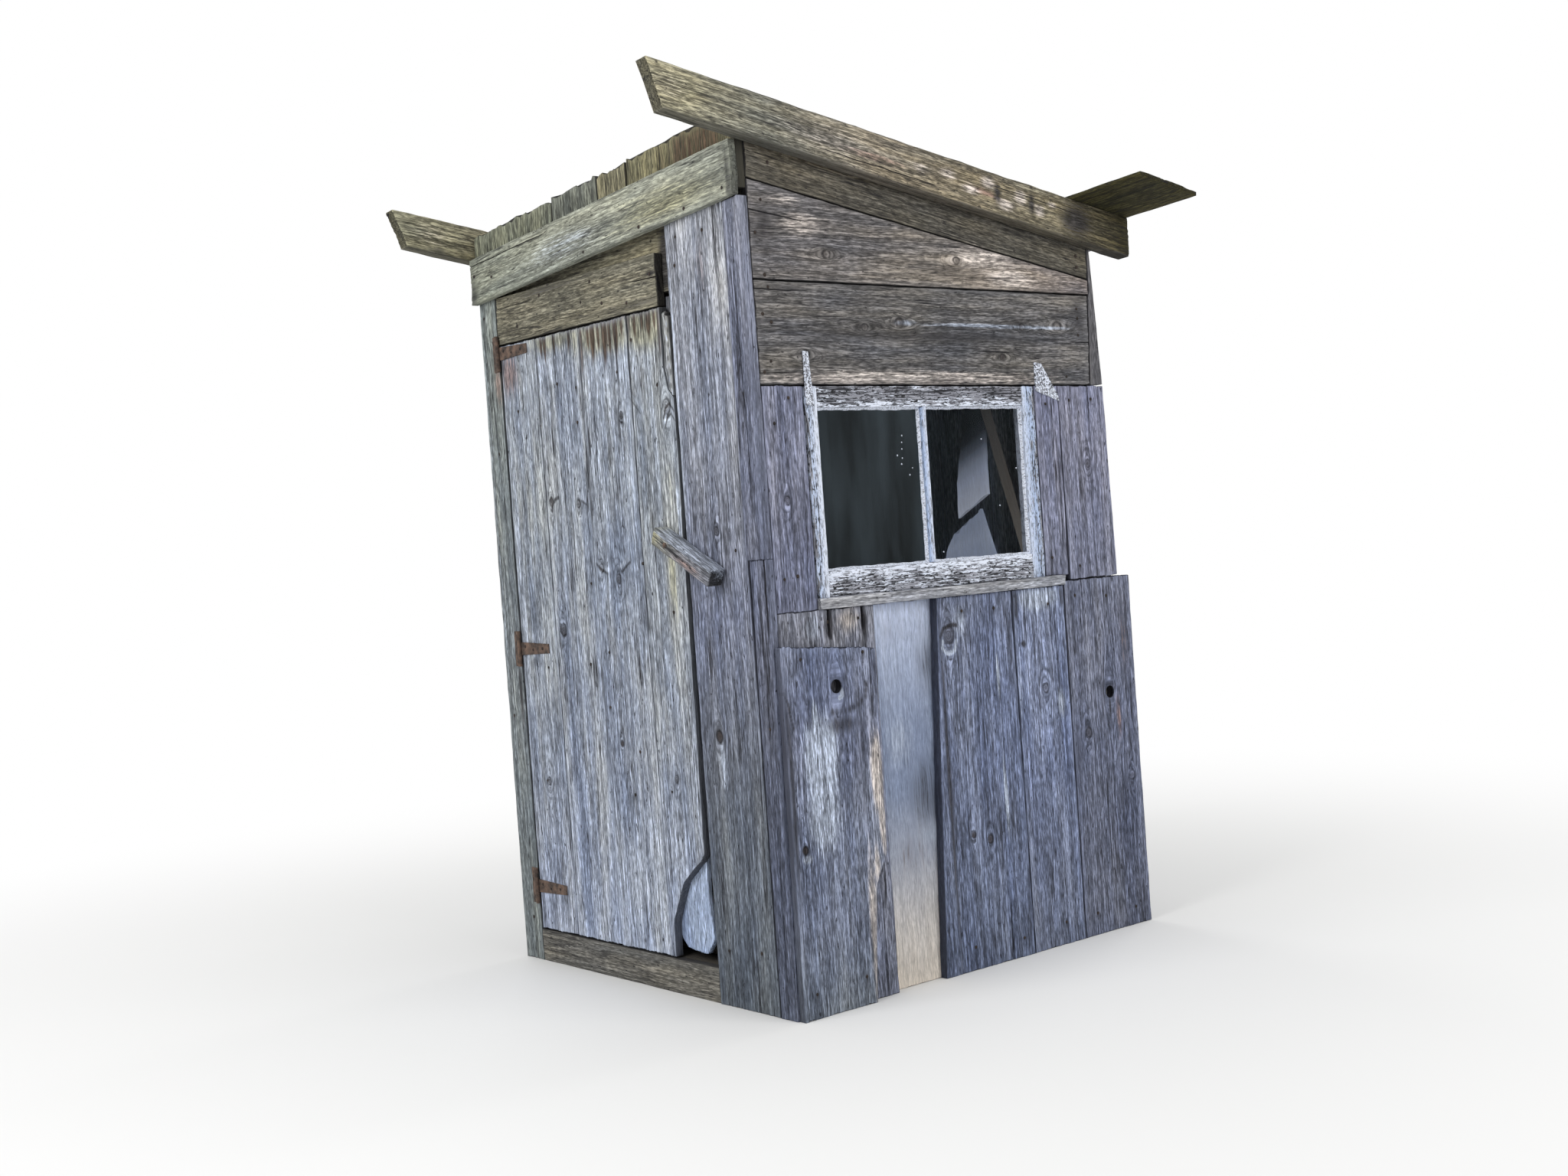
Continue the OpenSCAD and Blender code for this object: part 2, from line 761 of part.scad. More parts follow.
module sash_hangers() {
    y0 = -hy + sash_y;
    y1 = y0 + sash_w;
    z = sash_top;
    n = y1 + hanger_out * 0.1;
    color("White") {
        side_panel(hx + sash_out, hanger_t, [
            [y0 - joint, z - hanger_down * 0.94], [y0 + hanger_w * 1.2, z - hanger_down],
            [y0 + hanger_w * 0.8, z + hanger_up * 0.98], [y0, z + hanger_up]
        ]);
        side_panel(hx, hanger_t, [
            [n, z - hanger_out * 0.12], [y1 + hanger_out, z - hanger_out * 0.4],
            [y1 + hanger_out * 0.95, z - hanger_out * 0.22], [y1 + hanger_out * 0.36, z + hanger_b_up * 0.97],
            [n, z + hanger_b_up]
        ]);
    }
}

module window_sill() {
    y1 = min(low_e_y - joint, strip_y1);
    color(grey) box([fx, open_y0 + joint, low_top + joint], [hx + sill_out, y1, sash_z0 - joint]);
}

module lining_sheet() {
    color("Bisque") box([fx - lining_t, fy + post_w + joint, 0], [fx, hy - post_w - joint, low_top]);
}

module lower_front_board() {
    color(grey) box([fx, fy + joint, 0], [hx, fy + low_a, low_top]);
}

// its lower back edge is torn away
module patch_board() {
    y = -hy;
    w = patch_w;
    h = patch_h;
    color(grey) difference() {
        side_panel(hx, patch_t, [
            [y + w * 0.02, 0], [y + patch_foot, 0], [y + patch_foot * 1.09, h * 0.32],
            [y + w * 0.98, h * 0.41],
            [y + w * 0.994, h * 0.7], [y + w, h * 0.98], [y + w * 0.026, h * 1.01]
        ]);
        translate([hx - 1, y + knot_a_y, h - knot_a_z]) rotate([0, 90, 0])
            cylinder(r = knot_r, h = patch_t + 2);
    }
}

module lower_middle_boards() {
    y = -hy + low_c;
    color(grey) {
        side_panel(fx, board_t, [
            [y - low_lean, 0], [y + low_c_w, 0], [y + low_c_w, low_top], [y, low_top]
        ]);
        box([fx, low_d_y, 0], [hx, low_d_y + low_d_w, low_top]);
    }
}

module lower_back_board() {
    color(grey) difference() {
        box([fx, low_e_y, 0], [hx, hy + low_e_out, low_e_h]);
        translate([fx - 1, hy - knot_e_y, low_e_h - knot_e_z]) rotate([0, 90, 0])
            cylinder(r = knot_r, h = board_t + 2);
    }
}

// what shows through the panes: torn sheets on the inner face of the back wall, and a lath over them

module inner_sheets() {
    x = sheet_x;
    w = sheet_w;
    z = low_top + sheet_tear;
    color("Bisque") {
        front_panel(hy - joint - sheet_t, sheet_t, [
            [x - w, z], [x, z + w * 0.46], [x + w * 0.05, inner_z1], [x - w * 0.4, inner_z1],
            [x - w * 0.7, z + w * 1.8], [x - w * 0.96, z + w * 0.78]
        ]);
        front_panel(hy - joint - sheet_t, sheet_t, [
            [x - w * 1.16, z - w * 0.4], [x - w * 0.24, z + w * 0.15], [x + w * 0.07, z - w * 0.8],
            [x + w * 0.15, inner_z0], [x - w * 1.5, inner_z0], [x - w * 1.44, z - w * 0.8]
        ]);
    }
}

module inner_lath() {
    k = tan(lath_tilt);
    y = hy - sheet_t - lath_t - 2 * joint;
    color(grey) front_panel(y, lath_t, [
        [lath_x - lath_w / 2, inner_z0], [lath_x + lath_w / 2, inner_z0],
        [lath_x + lath_w / 2 - (inner_z1 - inner_z0) * k, inner_z1],
        [lath_x - lath_w / 2 - (inner_z1 - inner_z0) * k, inner_z1]
    ]);
}

// walls that the photograph does not show

module left_wall() {
    y0 = fy + joint;
    n = 6;
    color(grey) difference() {
        side_panel(-hx, board_t, [
            [y0, 0], [hy, 0], [hy, under_deck(-hx, hy) - joint], [y0, under_deck(-hx, y0) - joint]
        ]);
        for (i = [1:n - 1])
            translate([-hx - 1, y0 + (hy - y0) * i / n, -1]) cube([groove + 1, seam, big]);
    }
}

module back_wall() {
    yb = hy + board_t;
    n = 6;
    color(grey) difference() {
        front_panel(hy, board_t, [
            [-hx, 0], [fx - joint, 0],
            [fx - joint, under_deck(fx - joint, yb) - joint], [-hx, under_deck(-hx, yb) - joint]
        ]);
        for (i = [1:n - 1])
            translate([-hx + plan_w * i / n, yb - groove, -1]) cube([seam, groove + 1, big]);
    }
}

// roof

module rake(reach, taper) {
    rotate([90, 0, 90]) linear_extrude(rake_t) polygon([
        [-reach + rake_cut, -rake_drop], [deck_y1 + rake_tail, -rake_drop],
        [deck_y1, rake_h - rake_drop], [-reach, rake_h - rake_drop - taper]
    ]);
}

module rake_left() {
    color(wood) in_roof() translate([-rake_in_l - rake_t, 0, 0]) rake(rake_front_l, rake_taper);
}

module rake_right() {
    color(wood) in_roof() translate([rake_in_r, 0, 0]) rake(rake_front_r, 0);
}

module roof_deck() {
    n = 6;
    x0 = -rake_in_l + joint;
    w = (rake_in_l + rake_in_r - 2 * joint) / n;
    color(grey) in_roof() difference() {
        box([x0, deck_y0, 0], [rake_in_r - joint, deck_y1 - seam, deck_t]);
        for (i = [1:n - 1])
            box([x0 + w * i, deck_y0 - 1, deck_t - groove], [x0 + w * i + seam, deck_y1, deck_t + 1]);
    }
}

module eave_plank() {
    z = rake_h - rake_drop + joint;
    color(grey) in_roof()
        box([-rake_in_l - rake_t, deck_y1 - eave_w, z], [rake_in_r + rake_t + eave_out, deck_y1, z + eave_t]);
}

sill_beams();
corner_posts();
door_jamb_post();
wall_girts();
window_studs();
top_plates();
roof_rafters();
floor_boards();
left_corner_board();
wide_jamb_board();
near_corner_strip();
door_head_board();
fascia_board();
door_head_girt();
front_top_boards();
door_stop();
threshold_board();
door_boards();
door_split_strip();
door_ledges();
door_corner_piece();
hinge_straps();
hinge_plates();
turn_button();
button_nail();
frieze_board();
gable_board();
wide_side_board();
window_side_boards();
back_corner_strip();
window_sash();
window_panes();
sash_hangers();
window_sill();
lining_sheet();
lower_front_board();
patch_board();
lower_middle_boards();
lower_back_board();
inner_sheets();
inner_lath();
left_wall();
back_wall();
rake_left();
rake_right();
roof_deck();
eave_plank();
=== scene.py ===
"""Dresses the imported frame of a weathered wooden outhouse.

Every board lies where the frame has it. It is a rounded profile carried along the board's length,
then worn, cupped, checked and knotted, and its grain is kept as attributes that the wood finish reads.
"""

import copy
import functools
import json
import math

import bpy
import numpy as np
from mathutils import Matrix, Vector


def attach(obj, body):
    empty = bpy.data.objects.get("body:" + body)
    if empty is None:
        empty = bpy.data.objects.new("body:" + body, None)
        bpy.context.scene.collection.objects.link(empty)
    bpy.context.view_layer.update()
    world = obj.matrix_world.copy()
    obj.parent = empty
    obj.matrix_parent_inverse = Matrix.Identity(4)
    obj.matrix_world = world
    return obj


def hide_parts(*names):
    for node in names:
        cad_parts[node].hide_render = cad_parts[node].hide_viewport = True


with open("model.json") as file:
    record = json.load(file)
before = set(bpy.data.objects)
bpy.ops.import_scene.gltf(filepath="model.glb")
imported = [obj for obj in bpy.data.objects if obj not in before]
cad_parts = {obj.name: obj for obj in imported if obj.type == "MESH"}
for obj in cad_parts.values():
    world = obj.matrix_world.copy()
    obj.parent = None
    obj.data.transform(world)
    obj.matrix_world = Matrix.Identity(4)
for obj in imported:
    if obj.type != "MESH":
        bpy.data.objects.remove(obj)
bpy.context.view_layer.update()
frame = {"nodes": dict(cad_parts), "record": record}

bl_info = {
    "name": "Wooden outhouse",
    "version": (1, 0, 0),
    "blender": (4, 5, 0),
    "location": "3D View > Sidebar > Outhouse",
    "description": "Weathered boards, sash, hinges and turn button around a packed frame",
    "category": "Add Mesh",
}

# The slot and the body of each node, as the record has them
SLOTS = {part["node"]: part["material_slot"] for part in frame["record"]["subparts"]}
BODIES = {node: body for body, nodes in frame["record"]["behaviour"]["bodies"].items() for node in nodes}

# Directions in the frame's own axes
RIGHT, BACK, UP = np.eye(3)
LEFT, FRONT, DOWN = 0.0 - np.eye(3)

# How far the door side and the window side lie from the middle of the plan, in metres
WALL = 0.61
# How far in front of a board's face a knot, a patch or a nail may be placed and still belong to it
REACH = 0.06
# How squarely a triangle looks outwards, as a cosine, to be taken for a board's outer face
FACING = 0.8
# Depth under the outermost point that still counts as a board's outer face
SKIN = 0.0006
# How near the edge of a wide grooved face its own corners lie
RIM = 0.03
# Radius of the two open knot holes, as in the frame
HOLE_RADIUS = 0.017
# How far down the grain and across it the dark run under a nail reaches, and its half width
NAIL_RUN = 0.02
NAIL_SPREAD = 0.006
NAIL_HALF = 0.0045
# How far in from a board's edge the painted shade of a joint reaches
JOINT_SHADE_REACH = 0.006

# How far the grain bends before and behind a knot, in times the knot's radius
KNOT_STRETCH = 3.2
# Where the extra grid lines round a knot lie, in times its radius
KNOT_LINES = np.array([-1.7, -1.25, -0.95, -0.6, -0.2, 0.2, 0.6, 0.95, 1.25, 1.7])
# Where the extra grid lines of the dark run under a nail lie, down from it and to its sides
STREAK_LINES = np.array([-0.007, 0.0, 0.007, 0.022, 0.045])
STREAK_SIDES = np.array([-0.007, 0.0, 0.007])
# Where the extra grid lines of a narrow patch lie, in times its half size
PATCH_LINES = np.array([-1.6, -0.8, 0.0, 0.8, 1.6])
# Of extra grid lines closer than this share of a gap, one is kept
CROWD = 0.35
# Places of the columns of a profile's rounded corner, as parts of a quarter turn
CORNER_STEPS = np.array([0.5, 1.0])

# The six kinds of patch on a board: the first three are kept as stains and the others as tints.
# Some dark patches are painted shade, some fresh ones painted sunlight, and two pale ones a painted
# highlight
BROWN, DARK, PALE, RUST, GREEN, FRESH_AND_SUNLIT = range(6)


def linear(code):
    """Turns an sRGB hex colour to linear values: a straight line near black, a power of 2.4 above."""
    srgb = np.array([int(code[i:i + 2], 16) for i in (1, 3, 5)]) / 255
    return np.where(srgb <= 0.04045, srgb / 12.92, ((srgb + 0.055) / 1.055) ** 2.4)


def rgba(code):
    """A hex colour as the four linear values of a colour socket."""
    return (*linear(code), 1.0)


def wave(x, rng, lengths, size):
    """A smooth line: the sum of one sine for each wavelength, each with its own phase, scaled to size."""
    total = np.zeros_like(x)
    for length in lengths:
        total += np.sin(2 * math.pi * x / length + rng.uniform(0, 2 * math.pi))
    return size * total / math.sqrt(len(lengths))


def ramp(x, low, high):
    """Smooth step: 0 below low and 1 above high, with a level start and end between them."""
    t = np.clip((x - low) / (high - low), 0, 1)
    return t * t * (3 - 2 * t)


def unit(vector):
    """The vector divided by its length."""
    return vector / np.linalg.norm(vector)


def on_front(x, z):
    """A place on the door side, from millimetres."""
    return np.array([x / 1000, -WALL, z / 1000])


def on_side(y, z):
    """A place on the window side, from millimetres."""
    return np.array([WALL, y / 1000, z / 1000])


def grid_lines(low, high, step, extra, gap):
    """Evenly spaced lines from low to high, with the extra lines put in and their near neighbours left out.
    Gap is the least distance between an extra line and an even one."""
    base = np.linspace(low, high, max(2, int(round((high - low) / step)) + 1))
    extra = np.sort(np.array([e for e in extra if low + gap < e < high - gap]))
    if len(extra) == 0:
        return base
    extra = extra[np.append(True, np.diff(np.floor(extra / (CROWD * gap))) > 0)]
    clear = np.abs(base[:, None] - extra[None, :]).min(axis=1) > gap
    clear[[0, -1]] = True
    return np.sort(np.append(base[clear], extra))


def solids_of(node):
    """Corners and triangles of each solid of a node: a corner takes the lowest label of its triangles
    until none changes, and corners with one label belong to one solid."""
    mesh = frame["nodes"][node].data
    corners = np.empty(len(mesh.vertices) * 3)
    mesh.vertices.foreach_get("co", corners)
    mesh.calc_loop_triangles()
    triangles = np.empty(len(mesh.loop_triangles) * 3, dtype=np.int32)
    mesh.loop_triangles.foreach_get("vertices", triangles)
    places, same = np.unique(np.round(corners.reshape(-1, 3), 5), axis=0, return_inverse=True)
    triangles = same.reshape(-1)[triangles.reshape(-1, 3)]
    label = np.arange(len(places))
    while True:
        lower = label.copy()
        for side in range(3):
            np.minimum.at(lower, triangles[:, side], label[triangles].min(axis=1))
        lower = lower[lower]
        if np.array_equal(lower, label):
            break
        label = lower
    return [(places[label == key], places[triangles[label[triangles[:, 0]] == key]])
            for key in np.unique(label)]


class Board:
    """A board of the frame in its own axes: u along the grain, v across, and w inwards from its outer face.
    Its outline is a low edge and a high edge, each a line of (u, v) points, joined by straight ends."""

    def __init__(self, node, solid, outward, along, follow, skip, rim):
        self.node = node
        self.corners, triangles = solid
        normals = np.cross(triangles[:, 1] - triangles[:, 0], triangles[:, 2] - triangles[:, 0])
        sizes = np.linalg.norm(normals, axis=1)
        largest = np.argmax(np.where(normals @ outward > FACING * sizes, sizes, 0))
        self.outward = normals[largest] / sizes[largest]
        self.read(along, skip, rim)
        if follow:
            edge = getattr(self, follow)
            run = edge[-1] - edge[0]
            self.read(run[0] * self.along + run[1] * self.across, skip, rim)

    def read(self, along, skip, rim):
        """Finds the outline of the outer face for this direction of the grain."""
        self.along = unit(along - (along @ self.outward) * self.outward)
        self.across = np.cross(self.along, self.outward)
        depth = self.corners @ self.outward
        self.top = depth.max()
        self.thick = self.top - depth.min()
        face = self.corners[depth > self.top - SKIN]
        if skip is not None:
            face = face[np.linalg.norm(face - skip, axis=1) > HOLE_RADIUS * 1.1]
        flat = np.column_stack([face @ self.along, face @ self.across])
        ends = [flat[np.argmax(flat @ np.array(pick))] for pick in ((-1, -1), (-1, 1), (1, -1), (1, 1))]
        start = (ends[0] + ends[1]) / 2
        stop = (ends[2] + ends[3]) / 2
        flat = flat[np.argsort(flat[:, 0])]
        low = flat[:, 1] < start[1] + (flat[:, 0] - start[0]) * (stop[1] - start[1]) / (stop[0] - start[0])
        high = ~low
        if rim is not None:
            low = flat[:, 1] < flat[:, 1].min() + rim
            high = flat[:, 1] > flat[:, 1].max() - rim
        self.low = flat[low]
        self.high = flat[high]

    def with_edges(self, low, high):
        """The same board with other edges."""
        other = copy.copy(self)
        other.low = np.array(low)
        other.high = np.array(high)
        return other

    def split(self, count, gap):
        """Cuts a wide face into boards of one width, with the ends on the straight ends of the face."""
        first = (self.low[0][1] + self.low[-1][1]) / 2
        last = (self.high[0][1] + self.high[-1][1]) / 2
        cuts = np.linspace(first, last, count + 1)
        boards = []
        for k in range(count):
            edges = []
            for v in (cuts[k] + gap / 2, cuts[k + 1] - gap / 2):
                part = (v - first) / (last - first)
                ends = [self.low[i][0] + part * (self.high[i][0] - self.low[i][0]) for i in (0, -1)]
                edges.append([(ends[0], v), (ends[1], v)])
            low = self.low if k == 0 else edges[0]
            high = self.high if k == count - 1 else edges[1]
            boards.append(self.with_edges(low, high))
        return boards

    def length(self):
        """Mean length of the two edges."""
        return (self.low[-1][0] - self.low[0][0] + self.high[-1][0] - self.high[0][0]) / 2

    def width(self, u):
        """Distance between the two edges at u."""
        return np.interp(u, *self.high.T) - np.interp(u, *self.low.T)

    def flat(self, place):
        """The (u, v) of a place in space."""
        return np.array([place @ self.along, place @ self.across])

    def holds(self, place, rim=0.0):
        """Whether a place in front of the face lies inside the outline."""
        u, v = self.flat(place)
        start = min(self.low[0][0], self.high[0][0]) - rim
        stop = max(self.low[-1][0], self.high[-1][0]) + rim
        near = abs(place @ self.outward - self.top) < REACH
        inside = np.interp(u, *self.low.T) - rim < v < np.interp(u, *self.high.T) + rim
        return near and start < u < stop and inside

    def place(self, u, v, w):
        """The point in space at (u, v), w deep."""
        u, v, w = np.broadcast_arrays(u, v, w)
        return (u[..., None] * self.along + v[..., None] * self.across
                + (self.top - w)[..., None] * self.outward)


def boards_of(node, *ways, follow="", order=None, skip=None, rim=None):
    """The boards of a node, in order of their place along a direction. Ways are pairs of outward
    direction and grain, and a board takes the pair whose grain it is longest along. Follow turns the
    grain along the low or the high edge, skip is the middle of a hole, and rim tells a grooved face."""
    boards = []
    for solid in solids_of(node):
        outward, along = max(ways, key=lambda way: np.ptp(solid[0] @ way[1]))
        boards.append(Board(node, solid, outward, along, follow, skip, rim))
    if order is not None:
        boards.sort(key=lambda board: board.corners.mean(axis=0) @ order)
    return boards


# Knots seen from the door side, (x, z) and radius in millimetres, and whether they are dark
FRONT_KNOTS = [
    (-305, 1297, 11, 1), (-168, 1284, 9, 0), (-81, 1108, 10, 0), (-5, 1077, 11, 0), (-290, 946, 14, 0),
    (383, 675, 12, 1), (262, 1502, 17, 0), (-420, 520, 9, 0), (60, 1500, 8, 0), (430, 1180, 9, 0),
    (190, 560, 8, 0), (-45, 640, 7, 1),
]
# Knots seen from the window side, (y, z)
SIDE_KNOTS = [
    (-24, 874, 19, 0), (330, 700, 11, 0), (490, 560, 12, 0), (-566, 406, 8, 1), (80, 330, 10, 1),
    (20, 350, 8, 1), (-120, 1674, 12, 0), (-240, 1660, 9, 0), (470, 1676, 13, 0), (330, 1672, 9, 0),
    (-350, 1836, 11, 0), (250, 1590, 9, 1), (560, 1300, 10, 0), (-530, 1240, 9, 0), (660, 420, 12, 0),
    (-440, 1590, 11, 0), (100, 1840, 10, 0),
]
KNOTS = [(spot(across, height), radius / 1000, dark)
         for spot, rows in ((on_front, FRONT_KNOTS), (on_side, SIDE_KNOTS))
         for across, height, radius, dark in rows]
# Knots of the walls and the roof that the photograph does not show: how many a square metre
PLAIN_KNOTS = 3.0


def knots_on(board, rng, scatter):
    """The knots of a board as rows of u, v, radius and dark, with more scattered over an unseen one."""
    rows = []
    for place, radius, dark in KNOTS:
        if abs(board.outward @ unit(place * (RIGHT + BACK))) > 0.3 and board.holds(place):
            rows.append([*board.flat(place), radius, dark])
    span = board.length()
    count = rng.poisson(scatter * span * board.width(board.low[0][0] + span / 2))
    for _ in range(count):
        u = board.low[0][0] + span * rng.uniform(0.1, 0.9)
        v = np.interp(u, *board.low.T) + board.width(u) * rng.uniform(0.15, 0.85)
        rows.append([u, v, rng.uniform(0.007, 0.014), rng.uniform() < 0.4])
    return np.array(rows).reshape(-1, 4)


def cracks_on(board, rng, many, extra):
    """Rows of part across, start and stop as parts of the length, half width and depth. Two thirds of
    the random ones start at an end of the board."""
    span = board.length()
    width = board.width(board.low[0][0] + span / 2)
    rows = [list(row) for row in extra]
    for _ in range(rng.poisson(many * width / 0.1)):
        run = rng.uniform(0.08, 0.45) / max(span, 0.2)
        start = rng.choice([-run * 0.6, 1 - run * 0.5, rng.uniform(0.05, 0.9)])
        half = rng.uniform(0.0008, 0.0018)
        rows.append([rng.uniform(0.06, 0.94), start, start + run, half, rng.uniform(0.002, 0.006)])
    return rows


def grid_of(board, knots, cracks, patches, nails, hole, wear, step):
    """The rings along a board and the columns across it, as parts of its length and width: evenly
    spaced, with more at its worn ends and round knots, narrow patches, nails and cracks."""
    span = board.length()
    start = board.low[0][0]
    width = board.width(start + span / 2)
    ring_extra = []
    column_extra = []

    def refine(u, v, along, across):
        """Asks for grid lines at steps along and across a place."""
        ring_extra.extend((u - start + along) / span)
        column_extra.extend((v - np.interp(u, *board.low.T) + across) / board.width(u))

    rounds = list(knots[:, :3])
    if hole is not None:
        rounds.append([*board.flat(hole), HOLE_RADIUS])
    for u, v, radius in rounds:
        refine(u, v, KNOT_LINES * radius, KNOT_LINES * radius)
    for _, place, half_along, half_across, _ in patches:
        if min(half_along / step[0], half_across / step[1]) < 1 and board.holds(place, half_across):
            refine(*board.flat(place), PATCH_LINES * half_along, PATCH_LINES * half_across)
    for place, _ in nails:
        steps = (STREAK_LINES, STREAK_SIDES) if abs(board.along[2]) > 0.5 else (STREAK_SIDES, STREAK_LINES)
        sign = [-1 if axis[2] > 0 else 1 for axis in (board.along, board.across)]
        refine(*board.flat(place), steps[0] * sign[0], steps[1] * sign[1])
    for part, _, _, half, _ in cracks:
        column_extra += [part - half / width, part, part + half / width]
    rings = grid_lines(0, 1, step[0] / span, ring_extra, 0.3 * step[0] / span)
    bevel = np.array([0.3, 1.0]) * wear / span
    rings = rings[(rings > bevel[1] * 2) & (rings < 1 - bevel[1] * 2)]
    rings = np.concatenate([[0], bevel, rings, 1 - bevel[::-1], [1]])
    return rings, grid_lines(0, 1, step[1] / width, column_extra, 0.2 * step[1] / width)


def profile(columns, back):
    """One closed turn round a board: for each point its part of the width, its step to the side and
    inwards in times the corner radius, its part of the thickness, and whether it is on the outer face."""
    turn = CORNER_STEPS * math.pi / 2
    sine = np.sin(turn)
    drop = 1 - np.cos(turn)
    ones = np.ones(len(turn))
    parts = [
        (columns, 0 * columns, 0 * columns, 0 * columns, 1 + 0 * columns),
        (ones, sine, drop, 0 * ones, 0.6 * ones),
        (np.ones(1), np.ones(1), np.zeros(1), np.full(1, 0.5), np.zeros(1)),
        (ones, sine[::-1], -drop[::-1], ones, 0 * ones),
        (back[::-1], 0 * back, 0 * back, 1 + 0 * back, 0 * back),
        (0 * ones, -sine, -drop, ones, 0 * ones),
        (np.zeros(1), -np.ones(1), np.zeros(1), np.full(1, 0.5), np.zeros(1)),
        (0 * ones, -sine[::-1], drop[::-1], 0 * ones, 0.6 * ones),
    ]
    return [np.concatenate([part[k] for part in parts]) for k in range(5)]


def grain_flow(u, v, knots):
    """The grain line through each point: the streamlines of a smooth flow past a post at every knot,
    v less the offset times the radius squared over the squared distance, inside the knot constant."""
    flow = v.copy()
    for ku, kv, radius, _ in knots:
        along = (u - ku) / KNOT_STRETCH
        offset = v - kv
        flow -= offset * radius**2 / np.maximum(along**2 + offset**2, radius**2)
    return flow


def patch_masks(board, u, v, spot, patches, nails):
    """How strong each of the six kinds of patch is at each point. A patch fades as e to the minus
    squared distance in times its half sizes, and the dark under a nail as e to the minus distance."""
    masks = np.zeros(v.shape + (6,))
    for kind, place, half_along, half_across, strength in patches:
        pu, pv = board.flat(place)
        mask = strength * np.exp(-((u - pu) / half_along) ** 2 - ((v - pv) / half_across) ** 2)
        masks[..., kind] = np.maximum(masks[..., kind], mask)
    for place, _ in nails:
        below = place[2] - spot[..., 2]
        aside = (spot - place) @ unit(np.cross(board.outward, UP))
        reach = NAIL_RUN if abs(board.along[2]) > 0.5 else NAIL_SPREAD
        run = np.where(below > 0, np.exp(-below / reach), np.exp(-((below / NAIL_SPREAD) ** 2)))
        mask = 0.8 * run * np.exp(-((aside / NAIL_HALF) ** 2))
        masks[..., DARK] = np.maximum(masks[..., DARK], mask)
    return masks


def shade_of(board, shades, s, shape, ends):
    """The wood's own colour at each point: the shades spaced evenly from one end to the other, upwards
    where the grain runs up, and the two end faces darker by a factor."""
    colours = np.array([linear(code) for code in shades.split()])
    levels = np.linspace(0, 1, len(colours))
    upward = np.broadcast_to(s if board.along[2] > -0.5 else 1 - s, shape)
    shade = np.stack([np.interp(upward, levels, colours[:, k]) for k in range(3)], axis=-1)
    shade[[0, -1]] *= ends
    return shade


